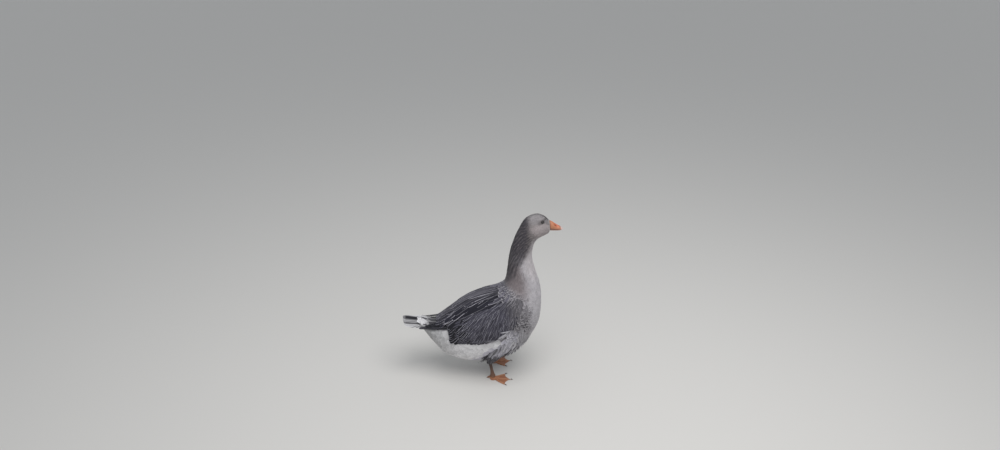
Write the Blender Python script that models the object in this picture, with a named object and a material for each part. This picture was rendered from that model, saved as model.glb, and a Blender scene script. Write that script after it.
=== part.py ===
"""A grey domestic goose, standing, at life size, as a still museum model.

The bird faces +X, its left side is at +Y, and its soles are at z = 0. Every size below is in
metres, measured from the point on the floor midway between the feet. The last step moves the
whole bird along X, so that the origin ends up under the middle of its outer box.
"""

import math

import bmesh
import bpy
import numpy as np
from mathutils.bvhtree import BVHTree

GAP = 0.0003

# The body, neck and head are one smooth form. Each row is one cross-section:
# name, back (x, z), underside (x, z), half width, level of the widest point, squareness.
SECTIONS = (
    ("tail root", (-0.345, 0.273), (-0.345, 0.244), 0.038, 0.00, 2.2),
    ("rump", (-0.285, 0.266), (-0.297, 0.170), 0.062, 0.10, 2.1),
    ("vent", (-0.225, 0.312), (-0.240, 0.106), 0.086, 0.05, 2.1),
    ("paunch", (-0.150, 0.371), (-0.150, 0.076), 0.106, -0.02, 2.2),
    ("loin", (-0.080, 0.404), (-0.060, 0.086), 0.118, -0.02, 2.3),
    ("shoulder", (-0.025, 0.420), (0.040, 0.124), 0.124, 0.00, 2.3),
    ("low breast", (0.002, 0.434), (0.110, 0.180), 0.121, 0.00, 2.2),
    ("breast", (0.014, 0.450), (0.160, 0.262), 0.107, 0.00, 2.1),
    ("upper breast", (0.020, 0.468), (0.173, 0.350), 0.083, 0.00, 2.0),
    ("neck base", (0.024, 0.492), (0.166, 0.440), 0.062, 0.00, 2.0),
    ("low neck", (0.029, 0.530), (0.143, 0.515), 0.047, 0.00, 2.0),
    ("middle neck", (0.035, 0.580), (0.130, 0.575), 0.038, 0.00, 2.0),
    ("upper neck", (0.047, 0.630), (0.136, 0.625), 0.034, 0.00, 2.0),
    ("nape", (0.070, 0.690), (0.150, 0.650), 0.0325, 0.00, 2.0),
    ("cheek", (0.100, 0.742), (0.168, 0.664), 0.0345, -0.10, 2.1),
    ("crown", (0.140, 0.762), (0.185, 0.673), 0.0325, -0.15, 2.1),
    ("brow", (0.172, 0.756), (0.196, 0.680), 0.026, -0.10, 2.1),
    ("bill base", (0.1975, 0.736), (0.202, 0.690), 0.0180, -0.10, 2.2),
)
TAIL_ROOT, VENT, NECK_BASE, NAPE, BILL_BASE = 0, 2, 9, 13, 17
BODY_SIDES = 26
RINGS_A_SECTION = 3
PART_GAP = 0.012  # along the sections, where rump, trunk, neck and head are parted

# The bill, from its base to its tip. Its hard nail caps the front of the upper half.
BILL_X = (0.2012, 0.2550)
BILL_LEAN = -0.098
CULMEN_Z = (0.7350, 0.7295, 0.7215, 0.7140, 0.7080, 0.6985)
TOMIUM_Z = (0.7040, 0.7025, 0.7005, 0.6985, 0.6970, 0.6960)
LOWER_Z = (0.6910, 0.6905, 0.6905, 0.6910, 0.6925, 0.6945)
BILL_WIDTHS = (0.0175, 0.0160, 0.0148, 0.0138, 0.0122, 0.0030)
LOWER_LENGTH = 0.90
LOWER_NARROWER = 0.86
BILL_ARCH_POINTS = 13
BILL_ARCH_POWER = 0.9
NAIL_START = 0.80

EYE_RADIUS = 0.0068
EYE_AT = (0.1700, 0.7370)  # x, z
EYE_SIDES, EYE_RINGS = 14, 8
EYE_SINK = 0.0045  # its centre, under the skin

# The closed tail: a flat fan behind the rump.
TAIL_TIP_X = -0.426
TAIL_WIDTHS = (0.0375, 0.0460, 0.0520, 0.0530, 0.0480, 0.0300)
TAIL_TOP_Z = (0.2725, 0.2735, 0.2750, 0.2765, 0.2780, 0.2790)
TAIL_LOW_Z = (0.2450, 0.2500, 0.2580, 0.2640, 0.2690, 0.2740)
TAIL_RINGS, TAIL_SIDES, TAIL_SQUARENESS = 11, 24, 3.0
TAIL_DROOP = 0.30  # fall of its sides for each metre out

# The folded wing, seen from the side: its upper and lower edges from front to back (x, z).
WING_UPPER = ((0.084, 0.412), (0.045, 0.412), (-0.030, 0.382), (-0.130, 0.340), (-0.228, 0.287))
WING_LOWER = (
    (0.090, 0.392), (0.079, 0.332), (0.042, 0.280), (-0.020, 0.236),
    (-0.090, 0.214), (-0.156, 0.211), (-0.213, 0.200),
)
WING_THICK = 0.012
WING_EDGE = 0.0016
WING_CLEARANCE = 0.0024
WING_STEPS, WING_ROWS = 16, 9
# The primaries' stack carries on behind the wing, over the side of the rump.
PRIMARIES_UPPER = ((-0.2305, 0.2870), (-0.284, 0.2630), (-0.317, 0.2580), (-0.336, 0.2610))
PRIMARIES_LOWER = ((-0.2255, 0.2570), (-0.275, 0.2470), (-0.317, 0.2440), (-0.351, 0.2430))
PRIMARIES_SPAN = (0.0600, 0.0480)  # least distance of the lower edge from the middle plane
UPPER_SPAN = 0.4  # the same for the upper edge, as a share of it
REAR_TAPER = 0.4  # how far its end faces backwards
PRIMARIES_THICK = 0.0060
PRIMARIES_EDGE = 0.0012
PRIMARIES_STEPS, PRIMARIES_ROWS = 8, 5

# Each leg: a feathered thigh, a bare shank, and a webbed foot flat on the floor.
LEG_SPREAD = 0.064
FOOT_X = -0.034
SOLE_TOP = 0.0150
ANKLE = (-0.048, 0.0840)  # x, z
THIGH_TOP = (-0.005, 0.1700)  # x, z
THIGH_RADII = (0.0155, 0.0420)
THIGH_BOW = 0.006
THIGH_SIDES = 16
SHANK_RADII = (0.0078, 0.0062, 0.0068, 0.0105)
SHANK_RINGS, SHANK_SIDES = 8, 14
TOE_ANGLES = (-37.0, 0.0, 35.0)  # inner, middle, outer, in degrees
TOE_LENGTHS = (0.064, 0.078, 0.070)
TOE_NAMES = ("inner", "middle", "outer")
TOE_WIDTH = 0.0052
HEEL_RADIUS = 0.0135
TOE_HEIGHT, TOE_FALL, TOE_STEEPNESS, TOE_SPREAD = 0.0062, 0.0020, 1.4, 0.35
HEEL_RISE, HEEL_RISE_REACH, PAD_RADIUS = 0.0060, 0.020, 0.0145
KNUCKLE, KNUCKLES = 0.0006, 3
WEB_THICK, WEB_RIM = 0.0024, 0.0011
WEB_REACH, WEB_DIP = 0.94, 0.12  # as shares of the toes' length
TURN_OUT = 6.0
FOOT_SIDES = 60
FOOT_RINGS = 6
CLAW_LENGTH = 0.0095
CLAW_RADIUS, CLAW_TAPER = 0.0026, 0.85
CLAW_LEVEL, CLAW_DROP = 0.0034, 0.0022
HIND_TOE_GAP, HIND_TOE_LENGTH = 0.0012, 0.0135
HIND_TOE_LEVEL, HIND_TOE_DROP = 0.0115, 0.0075
HIND_TOE_RADII = (0.0030, 0.0036, 0.0034, 0.0030, 0.0024, 0.0012)
SMALL_SIDES = 8

COLOURS = {
    "grey_plumage": ((0.23, 0.21, 0.21), 0.85),
    "pale_plumage": ((0.55, 0.52, 0.50), 0.85),
    "dark_plumage": ((0.075, 0.070, 0.085), 0.75),
    "bill_horn": ((0.82, 0.24, 0.055), 0.45),
    "nail_horn": ((0.78, 0.62, 0.55), 0.40),
    "leg_skin": ((0.75, 0.27, 0.09), 0.60),
    "claw_horn": ((0.10, 0.08, 0.07), 0.45),
    "eye_gloss": ((0.030, 0.018, 0.012), 0.08),
}


def clear_scene():
    for obj in list(bpy.data.objects):
        bpy.data.objects.remove(obj, do_unlink=True)


def material(name):
    """The plain Principled material of one of the finishes above."""
    found = bpy.data.materials.get(name)
    if found:
        return found
    made = bpy.data.materials.new(name)
    made.use_nodes = True
    colour, roughness = COLOURS[name]
    shader = made.node_tree.nodes["Principled BSDF"]
    shader.inputs["Base Color"].default_value = (*colour, 1.0)
    shader.inputs["Roughness"].default_value = roughness
    made.diffuse_color = (*colour, 1.0)
    return made


def smooth_course(values, place):
    """The values' smooth course at fractional index places, by Catmull-Rom."""
    values = np.asarray(values, float)
    place = np.atleast_1d(np.asarray(place, float))
    ends = [2 * values[:1] - values[1:2], values, 2 * values[-1:] - values[-2:-1]]
    padded = np.concatenate(ends)
    i = np.clip(place.astype(int), 0, len(values) - 2)
    t = place - i
    t = t.reshape(t.shape + (1,) * (values.ndim - 1))
    a, b, c, d = padded[i], padded[i + 1], padded[i + 2], padded[i + 3]
    return 0.5 * (2 * b + (c - a) * t + (2 * a - 5 * b + 4 * c - d) * t**2 + (3 * b - a - 3 * c + d) * t**3)


def spread(values, count):
    """A short list of values, resampled smoothly to count values."""
    return smooth_course(values, np.linspace(0, len(values) - 1, count))


def round_section(sides, squareness):
    """Unit superellipse, as (across, up) for each of its sides."""
    angle = np.arange(sides) * 2 * math.pi / sides
    power = 2.0 / squareness
    across = np.sign(np.cos(angle)) * np.abs(np.cos(angle)) ** power
    up = np.sign(np.sin(angle)) * np.abs(np.sin(angle)) ** power
    return across, up


def body_rings(start, end, rings, sides):
    """Cross-sections of the body between two places along SECTIONS, as an array (rings, sides, 3)."""
    numbers = np.array([[*back, *under, w, level, square] for _, back, under, w, level, square in SECTIONS])
    table = smooth_course(numbers, np.linspace(start, end, rings))
    made = np.empty((rings, sides, 3))
    for ring, (bx, bz, ux, uz, width, level, square) in zip(made, table):
        across, up = round_section(sides, square)
        up = np.where(up > 0, up * (1 - level), up * (1 + level)) + level
        ring[:, 0] = (bx + ux) / 2 + up * (bx - ux) / 2
        ring[:, 1] = across * width
        ring[:, 2] = (bz + uz) / 2 + up * (bz - uz) / 2
    return made


def mesh_object(name, vertices, faces, finish, collection):
    """A smooth-shaded object from vertices and faces, with its faces turned outwards."""
    mesh = bpy.data.meshes.new(name)
    mesh.from_pydata([tuple(v) for v in vertices], [], faces)
    tidy = bmesh.new()
    tidy.from_mesh(mesh)
    bmesh.ops.remove_doubles(tidy, verts=tidy.verts, dist=1e-6)
    bmesh.ops.recalc_face_normals(tidy, faces=tidy.faces)
    tidy.to_mesh(mesh)
    tidy.free()
    mesh.shade_smooth()
    mesh.set_sharp_from_angle(angle=math.radians(50))
    mesh.materials.append(material(finish))
    obj = bpy.data.objects.new(name, mesh)
    collection.objects.link(obj)
    return obj


def tube_faces(count, sides):
    """The quads between neighbouring rings of a tube."""
    return [
        (r * sides + s, r * sides + (s + 1) % sides, (r + 1) * sides + (s + 1) % sides, (r + 1) * sides + s)
        for r in range(count - 1)
        for s in range(sides)
    ]


def loft(name, rings, finish, collection):
    """A closed solid through cross-sections of equal count, with a flat cap at each end."""
    count, sides = rings.shape[:2]
    faces = tube_faces(count, sides)
    faces.append(tuple(range(sides)))
    faces.append(tuple(range((count - 1) * sides, count * sides)))
    return mesh_object(name, rings.reshape(-1, 3), faces, finish, collection)


def slab(name, inner, outer, finish, collection):
    """A closed plate between two grids of equal shape, with its rim filled by quads."""
    rows, columns = inner.shape[:2]
    size = rows * columns
    at = np.arange(size).reshape(rows, columns)
    faces = []
    for r in range(rows - 1):
        for c in range(columns - 1):
            quad = (at[r, c], at[r, c + 1], at[r + 1, c + 1], at[r + 1, c])
            faces.append(tuple(int(i) for i in quad))
            faces.append(tuple(int(i) + size for i in quad[::-1]))
    rim = [*at[0, :], *at[1:, -1], *at[-1, -2::-1], *at[-2:0:-1, 0]]
    for a, b in zip(rim, rim[1:] + rim[:1]):
        faces.append((int(b), int(a), int(a) + size, int(b) + size))
    vertices = np.concatenate([inner.reshape(-1, 3), outer.reshape(-1, 3)])
    return mesh_object(name, vertices, faces, finish, collection)


def cut(obj, cutter):
    """Takes the cutter's shape out of obj with a live Boolean."""
    cutter.hide_render = True
    cutter.display_type = "WIRE"
    modifier = obj.modifiers.new("cut " + cutter.name, "BOOLEAN")
    modifier.operation = "DIFFERENCE"
    modifier.solver = "EXACT"
    modifier.object = cutter


def body_part(name, start, end, finish, collection):
    rings = max(round((end - start) * RINGS_A_SECTION) + 1, 3)
    return loft(name, body_rings(start, end, rings, BODY_SIDES), finish, collection)


def make_body(parts):
    """Rump, trunk, neck and head, parted by thin cuts across the one form."""
    body_part("rump", TAIL_ROOT, VENT, "pale_plumage", parts)
    trunk = body_part("trunk", VENT + PART_GAP, NECK_BASE, "grey_plumage", parts)
    body_part("neck", NECK_BASE + PART_GAP, NAPE, "pale_plumage", parts)
    head = body_part("head", NAPE + PART_GAP, BILL_BASE, "grey_plumage", parts)
    return trunk, head


def body_guide(start, end):
    """The smooth form of the body as a finely meshed tree for rays."""
    rings = body_rings(start, end, 120, 96)
    return BVHTree.FromPolygons([tuple(v) for v in rings.reshape(-1, 3)], tube_faces(*rings.shape[:2]))


def side_of_body(guide, x, z, sign):
    """The place on the body's side at a given x and z, and the outward direction there, or None."""
    place, direction, _, _ = guide.ray_cast((x, sign * 0.5, z), (0.0, -sign, 0.0))
    if place is None:
        return None
    return np.array(place), np.array(direction) * (1 if direction.y * sign > 0 else -1)


def eye_ball(name, middle, radius, collection):
    ball = bmesh.new()
    bmesh.ops.create_uvsphere(ball, u_segments=EYE_SIDES, v_segments=EYE_RINGS, radius=radius)
    bmesh.ops.translate(ball, verts=ball.verts, vec=middle)
    mesh = bpy.data.meshes.new(name)
    ball.to_mesh(mesh)
    ball.free()
    mesh.shade_smooth()
    mesh.materials.append(material("eye_gloss"))
    obj = bpy.data.objects.new(name, mesh)
    collection.objects.link(obj)
    return obj


def make_eyes(head, parts, cutters):
    """A ball in a socket on each side of the head."""
    guide = body_guide(NAPE, BILL_BASE)
    for side, sign in (("right", -1), ("left", 1)):
        x, z = EYE_AT
        place, out = side_of_body(guide, x, z, sign)
        x, y, z = place - out * EYE_SINK
        eye_ball("eye_" + side, (x, y, z), EYE_RADIUS, parts)
        cut(head, eye_ball("socket_" + side, (x, y, z), EYE_RADIUS + GAP, cutters))


def bill_rings(start, end, rings, top_z, low_z, narrow, round_top):
    """Cross-sections of half a bill from start to end of its length: a dome on one flat side."""
    t = np.linspace(start, end, rings) * (len(CULMEN_Z) - 1)
    top, low, width = (smooth_course(v, t) for v in (top_z, low_z, BILL_WIDTHS))
    angle = np.linspace(0, math.pi, BILL_ARCH_POINTS)
    across, up = np.cos(angle), np.sin(angle) ** BILL_ARCH_POWER
    made = []
    for place, zt, zl, w in zip(np.linspace(start, end, rings), top, low, width):
        z = zl + (zt - zl) * up if round_top else zt - (zt - zl) * up
        x = BILL_X[0] + place * (BILL_X[1] - BILL_X[0])
        lean = BILL_LEAN * (z - TOMIUM_Z[0]) * (1 - place)
        made.append(np.stack([x + lean, across * w * narrow, z], 1))
    return np.array(made)


def make_bill(parts):
    """Upper and lower halves that meet along the gape, and the nail at the tip."""
    step = 2 * GAP / (BILL_X[1] - BILL_X[0])
    lowered = np.array(TOMIUM_Z) - 2 * GAP
    upper = bill_rings(0.0, NAIL_START, 9, CULMEN_Z, TOMIUM_Z, 1.0, True)
    loft("bill_upper", upper, "bill_horn", parts)
    nail = bill_rings(NAIL_START + step, 1.0, 6, CULMEN_Z, TOMIUM_Z, 1.0, True)
    loft("bill_nail", nail, "nail_horn", parts)
    lower = bill_rings(0.0, LOWER_LENGTH, 9, lowered, LOWER_Z, LOWER_NARROWER, False)
    loft("bill_lower", lower, "bill_horn", parts)


def make_tail(parts):
    """The closed fan: flat, thinner and rounded off towards its end."""
    count = TAIL_RINGS
    start = SECTIONS[TAIL_ROOT][1][0] - 2 * GAP
    across, up = round_section(TAIL_SIDES, TAIL_SQUARENESS)
    rings = []
    stations = zip(
        np.linspace(start, TAIL_TIP_X, count), spread(TAIL_WIDTHS, count), spread(TAIL_TOP_Z, count),
        spread(TAIL_LOW_Z, count),
    )
    for x, width, top, low in stations:
        sag = -TAIL_DROOP * np.abs(across * width)
        z = (top + low) / 2 + up * (top - low) / 2 + sag
        rings.append(np.stack([np.full(TAIL_SIDES, x), across * width, z], 1))
    return loft("tail", np.array(rings), "dark_plumage", parts)


def plate_on_body(guide, upper, lower, steps, rows, thick, edge, span, sign):
    """Inner and outer grids of a plate that lies on the flank, thinner towards its rim.

    Its lower edge stays at least span (front, back) out from the middle plane, and its upper edge a
    share of that, so its end runs straight where the body narrows.
    """
    upper = spread(upper, steps)
    lower = spread(lower, steps)
    inner = np.empty((steps, rows, 3))
    outer = np.empty((steps, rows, 3))
    for i in range(steps):
        along = i / (steps - 1)
        least = span[0] + (span[1] - span[0]) * along
        for j in range(rows):
            over = j / (rows - 1)
            x, z = upper[i] + (lower[i] - upper[i]) * over
            reach = least * (UPPER_SPAN + (1 - UPPER_SPAN) * over)
            straight = np.array([-REAR_TAPER, sign, 0.0]) / math.hypot(REAR_TAPER, 1)
            flat = np.array([x, sign * reach, z]), straight
            found = side_of_body(guide, x, z, sign)
            place, out = found if found and abs(found[0][1]) > reach else flat
            swell = (math.sin(math.pi * along) * math.sin(math.pi * over)) ** 0.5
            inner[i, j] = place + out * WING_CLEARANCE
            outer[i, j] = inner[i, j] + out * (edge + (thick - edge) * swell)
    return inner, outer


def make_wings(parts):
    """Folded wings on the flanks, and the primaries' stack behind each."""
    guide = body_guide(TAIL_ROOT, NECK_BASE)
    for side, sign in (("right", -1), ("left", 1)):
        wing = plate_on_body(
            guide, WING_UPPER, WING_LOWER, WING_STEPS, WING_ROWS, WING_THICK, WING_EDGE, (0.0, 0.0), sign
        )
        slab("wing_" + side, *wing, "dark_plumage", parts)
        stack = plate_on_body(
            guide, PRIMARIES_UPPER, PRIMARIES_LOWER, PRIMARIES_STEPS, PRIMARIES_ROWS,
            PRIMARIES_THICK, PRIMARIES_EDGE, PRIMARIES_SPAN, sign,
        )
        slab("primaries_" + side, *stack, "dark_plumage", parts)


def level_rings(centres, radii, sides):
    """Round level sections, one for each centre (x, y, z)."""
    angle = np.arange(sides) * 2 * math.pi / sides
    circle = np.stack([np.cos(angle), np.sin(angle), np.zeros(sides)], 1)
    return np.array([np.array(c) + circle * r for c, r in zip(centres, radii)])


def upright_rings(centres, radii, sideways):
    """Round sections that stand upright, one for each centre, across a level direction."""
    angle = np.arange(SMALL_SIDES) * 2 * math.pi / SMALL_SIDES
    circle = np.outer(np.cos(angle), sideways) + np.outer(np.sin(angle), (0.0, 0.0, 1.0))
    return np.array([np.array(c) + circle * r for c, r in zip(centres, radii)])


def foot_height(radius, angle, reach):
    """Height of the foot's top: a thin web, with a ridge along each toe and a flat pad for the shank."""
    height = np.full_like(radius, WEB_THICK)
    for degrees, length in zip(TOE_ANGLES, TOE_LENGTHS):
        off = angle - math.radians(degrees)
        aside = radius * np.sin(off)
        ahead = radius * np.cos(off)
        ridge = TOE_HEIGHT + HEEL_RISE * np.exp(-radius / HEEL_RISE_REACH) - TOE_FALL * radius / length
        knuckles = KNUCKLE * np.cos(ahead / length * KNUCKLES * 2 * math.pi)
        bump = np.exp(-TOE_STEEPNESS * (aside / TOE_WIDTH) ** 2) * (ahead > -HEEL_RADIUS)
        height = np.maximum(height, (ridge + knuckles) * bump)
    pad = SOLE_TOP * np.exp(-((radius / PAD_RADIUS) ** 6))
    height = np.maximum(height, pad)
    rim = np.sqrt(np.clip(1 - (radius / reach) ** 6, 0.0, 1.0))
    return np.minimum(WEB_RIM + (height - WEB_RIM) * rim, SOLE_TOP)


def foot_reach(angle):
    """Distance from the foot's centre to its outline: toes, webs that dip between them, and the heel."""
    reach = np.full_like(angle, HEEL_RADIUS)
    for degrees, length in zip(TOE_ANGLES, TOE_LENGTHS):
        off = angle - math.radians(degrees)
        spear = length * np.exp(-TOE_SPREAD * (off * length / TOE_WIDTH) ** 2)
        reach = np.maximum(reach, np.where(np.abs(off) < math.pi / 2, spear, 0.0))
    degrees = np.degrees(angle)
    inside = np.clip((degrees - TOE_ANGLES[0]) / (TOE_ANGLES[2] - TOE_ANGLES[0]), 0, 1)
    webbed = (degrees > TOE_ANGLES[0]) & (degrees < TOE_ANGLES[2])
    length = np.interp(degrees, TOE_ANGLES, TOE_LENGTHS)
    web = length * (WEB_REACH - WEB_DIP * np.abs(np.sin(inside * 2 * math.pi)))
    return np.where(webbed, np.maximum(reach, web), reach)


def make_foot(side, sign, parts):
    """A webbed foot with a flat sole, its claws, and the small raised hind toe."""
    step = 2 * math.pi / FOOT_SIDES
    angle = -math.pi + np.arange(FOOT_SIDES) * step
    reach = foot_reach(angle)
    turn = math.radians(TURN_OUT)
    centre = np.array([FOOT_X, sign * LEG_SPREAD, 0.0])

    def placed(radius, local, z):
        heading = sign * (local + turn)
        spot = np.stack([radius * np.cos(heading), radius * np.sin(heading), z], -1)
        return centre + spot

    shares = (np.arange(1, FOOT_RINGS + 1) / FOOT_RINGS) ** 0.9
    tops = [placed(reach * s, angle, foot_height(reach * s, angle, reach)) for s in shares]
    soles = [placed(reach * s, angle, np.zeros(FOOT_SIDES)) for s in (1.0, 0.5)]
    loft("foot_" + side, np.array([*tops, *soles]), "leg_skin", parts)

    for degrees, length, toe in zip(TOE_ANGLES, TOE_LENGTHS, TOE_NAMES):
        local = math.radians(degrees)
        along = np.linspace(0, 1, 5)
        base = length + 2 * GAP
        heading = sign * (local + turn)
        sideways = (-math.sin(heading), math.cos(heading), 0.0)
        centres = [placed(base + CLAW_LENGTH * t, local, CLAW_LEVEL - CLAW_DROP * t**2) for t in along]
        radii = CLAW_RADIUS * (1 - CLAW_TAPER * along)
        loft(f"claw_{side}_{toe}", upright_rings(centres, radii, sideways), "claw_horn", parts)

    along = np.linspace(0, 1, len(HIND_TOE_RADII))
    base = HEEL_RADIUS + HIND_TOE_GAP
    centres = [placed(base + HIND_TOE_LENGTH * t, math.pi, HIND_TOE_LEVEL - HIND_TOE_DROP * t) for t in along]
    rings = upright_rings(centres, HIND_TOE_RADII, (0.0, 1.0, 0.0))
    loft("hind_toe_" + side, rings, "leg_skin", parts)


def make_legs(trunk, parts, cutters):
    """Thigh, shank and foot on each side. The thigh sits in a pocket of the trunk."""
    for side, sign in (("right", -1), ("left", 1)):
        y = sign * LEG_SPREAD
        foot = np.array([FOOT_X, y, SOLE_TOP + GAP])
        ankle = np.array([ANKLE[0], y, ANKLE[1]])
        shank = [foot + (ankle - foot) * t for t in np.linspace(0, 1, SHANK_RINGS)]
        rings = level_rings(shank, spread(SHANK_RADII, SHANK_RINGS), SHANK_SIDES)
        loft("shank_" + side, rings, "leg_skin", parts)

        t = np.linspace(0, 1, 9)
        low = np.array([ANKLE[0], y, ANKLE[1] + GAP])
        high = np.array([THIGH_TOP[0], y, THIGH_TOP[1]])
        centres = low + np.outer(t, high - low)
        centres[:, 0] += THIGH_BOW * np.sin(math.pi * t)
        radii = THIGH_RADII[0] + (THIGH_RADII[1] - THIGH_RADII[0]) * np.sin(t * math.pi / 2)
        loft("thigh_" + side, level_rings(centres, radii, THIGH_SIDES), "grey_plumage", parts)
        room = level_rings(centres, radii + GAP, THIGH_SIDES)
        room[0, :, 2] -= GAP / 2
        room[-1, :, 2] += GAP
        cut(trunk, loft("thigh_room_" + side, room, "grey_plumage", cutters))
        make_foot(side, sign, parts)


def centre_on_origin():
    """Moves the bird along X, so that the middle of its outer box is over the origin."""
    middle = (TAIL_TIP_X + BILL_X[1]) / 2
    for obj in bpy.data.objects:
        for vertex in obj.data.vertices:
            vertex.co.x -= middle


clear_scene()
goose = bpy.data.collections.new("goose")
cutting = bpy.data.collections.new("cutters")
bpy.context.scene.collection.children.link(goose)
bpy.context.scene.collection.children.link(cutting)
trunk_object, head_object = make_body(goose)
make_eyes(head_object, goose, cutting)
make_bill(goose)
make_tail(goose)
make_wings(goose)
make_legs(trunk_object, goose, cutting)
centre_on_origin()
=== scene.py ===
import math

import bpy
import numpy as np
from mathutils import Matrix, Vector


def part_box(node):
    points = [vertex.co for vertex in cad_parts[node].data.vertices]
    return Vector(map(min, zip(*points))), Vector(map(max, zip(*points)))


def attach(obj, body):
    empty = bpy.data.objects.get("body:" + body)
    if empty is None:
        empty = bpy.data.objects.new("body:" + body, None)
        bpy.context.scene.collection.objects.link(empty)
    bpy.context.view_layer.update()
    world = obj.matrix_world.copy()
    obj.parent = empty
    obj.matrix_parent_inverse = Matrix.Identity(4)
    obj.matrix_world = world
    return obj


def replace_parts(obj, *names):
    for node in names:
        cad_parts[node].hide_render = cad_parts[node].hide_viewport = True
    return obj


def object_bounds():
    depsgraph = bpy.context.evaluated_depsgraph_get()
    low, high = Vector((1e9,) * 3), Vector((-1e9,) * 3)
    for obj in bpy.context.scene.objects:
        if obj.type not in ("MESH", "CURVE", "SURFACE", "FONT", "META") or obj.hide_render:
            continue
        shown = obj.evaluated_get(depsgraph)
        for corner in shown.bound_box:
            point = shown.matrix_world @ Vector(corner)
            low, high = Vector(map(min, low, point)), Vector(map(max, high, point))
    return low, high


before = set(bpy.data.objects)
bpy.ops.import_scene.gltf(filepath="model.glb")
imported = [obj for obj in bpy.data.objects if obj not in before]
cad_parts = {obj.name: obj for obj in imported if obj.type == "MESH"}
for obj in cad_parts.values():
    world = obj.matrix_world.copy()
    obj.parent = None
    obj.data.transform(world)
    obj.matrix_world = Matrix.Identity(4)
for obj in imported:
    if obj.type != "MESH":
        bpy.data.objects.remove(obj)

cad_low, cad_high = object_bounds()


# ---------------------------------------------------------------------------------------------
# The body's form. A goose's trunk, neck and head are one smooth shape under the plumage, so one
# form in two parameters carries the skin and every feather: s runs from the tail root to the
# bill, and a goes round the body, with 0 on the left side and a quarter turn on the back.

BILL_REACH = 0.2550  # the bill's tip, ahead of the point midway between the feet
MIDWAY = cad_high.x - BILL_REACH
# Sections: back x, z, underside x, z, half width, level of the widest point, squareness.
SECTIONS = np.array((
    (-0.345, 0.273, -0.345, 0.244, 0.0380, 0.00, 2.2),  # 0 tail root
    (-0.285, 0.266, -0.297, 0.170, 0.0620, 0.10, 2.1),  # 1 rump
    (-0.225, 0.312, -0.240, 0.106, 0.0860, 0.05, 2.1),  # 2 vent
    (-0.150, 0.371, -0.150, 0.076, 0.1060, -0.02, 2.2),  # 3 paunch
    (-0.080, 0.404, -0.060, 0.086, 0.1180, -0.02, 2.3),  # 4 loin
    (-0.025, 0.420, 0.040, 0.124, 0.1240, 0.00, 2.3),  # 5 shoulder
    (0.002, 0.434, 0.110, 0.180, 0.1210, 0.00, 2.2),  # 6 low breast
    (0.014, 0.450, 0.160, 0.262, 0.1070, 0.00, 2.1),  # 7 breast
    (0.020, 0.468, 0.173, 0.350, 0.0830, 0.00, 2.0),  # 8 upper breast
    (0.024, 0.492, 0.166, 0.440, 0.0620, 0.00, 2.0),  # 9 neck base
    (0.029, 0.530, 0.143, 0.515, 0.0470, 0.00, 2.0),  # 10 low neck
    (0.035, 0.580, 0.130, 0.575, 0.0380, 0.00, 2.0),  # 11 middle neck
    (0.047, 0.630, 0.136, 0.625, 0.0340, 0.00, 2.0),  # 12 upper neck
    (0.070, 0.690, 0.150, 0.650, 0.0325, 0.00, 2.0),  # 13 nape
    (0.100, 0.742, 0.168, 0.664, 0.0345, -0.10, 2.1),  # 14 cheek
    (0.140, 0.762, 0.185, 0.673, 0.0325, -0.15, 2.1),  # 15 crown
    (0.172, 0.756, 0.196, 0.680, 0.0260, -0.10, 2.1),  # 16 brow
    (0.1975, 0.736, 0.202, 0.690, 0.0180, -0.10, 2.2),  # 17 bill base
))
NECK_BASE, BILL_BASE = 9, 17  # the sections where the neck starts and the feathers end
FULL_TURN = 2 * math.pi


def smooth_course(values, place):
    """The values' smooth course at fractional index places: a Catmull-Rom cubic between each pair."""
    values = np.asarray(values, float)
    place = np.asarray(place, float)
    padded = np.concatenate([2 * values[:1] - values[1:2], values, 2 * values[-1:] - values[-2:-1]])
    i = np.clip(place.astype(int), 0, len(values) - 2)
    t = (place - i).reshape(place.shape + (1,) * (values.ndim - 1))
    a, b, c, d = padded[i], padded[i + 1], padded[i + 2], padded[i + 3]
    return 0.5 * (2 * b + (c - a) * t + (2 * a - 5 * b + 4 * c - d) * t**2 + (3 * b - a - 3 * c + d) * t**3)


def ease(low, high, value):
    """0 below low, 1 above high, and the cubic 3t^2 - 2t^3 between."""
    t = np.clip((value - low) / (high - low), 0.0, 1.0)
    return t * t * (3 - 2 * t)


def fade(low, high, value):
    """1 below low and 0 above high: what ease leaves over."""
    return 1 - ease(low, high, value)


def hump(middle, reach, value):
    """A bell: exp(-(distance / reach)^2)."""
    return np.exp(-(((value - middle) / reach) ** 2))


def unit(way):
    """The way at length 1."""
    return way / np.maximum(np.linalg.norm(way, axis=-1, keepdims=True), 1e-12)


def dot(a, b):
    """Scalar product over the last axis."""
    return np.sum(a * b, axis=-1)


def body_form(s, a):
    """A point of each section: middle + up * half height + across * half width, on a superellipse."""
    back_x, back_z, low_x, low_z, width, level, square = np.moveaxis(smooth_course(SECTIONS, s), -1, 0)
    power = 2.0 / square
    across = np.sign(np.cos(a)) * np.abs(np.cos(a)) ** power
    up = np.sign(np.sin(a)) * np.abs(np.sin(a)) ** power
    up = np.where(up > 0, up * (1 - level), up * (1 + level)) + level
    x = (back_x + low_x) / 2 + up * (back_x - low_x) / 2 + MIDWAY
    z = (back_z + low_z) / 2 + up * (back_z - low_z) / 2
    return np.stack([x, across * width, z], -1)


FURROW_PACE = 12.0  # how fast the neck's ridges follow one another along it, and how far they slant
FURROW_SLANT = 25.0


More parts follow.
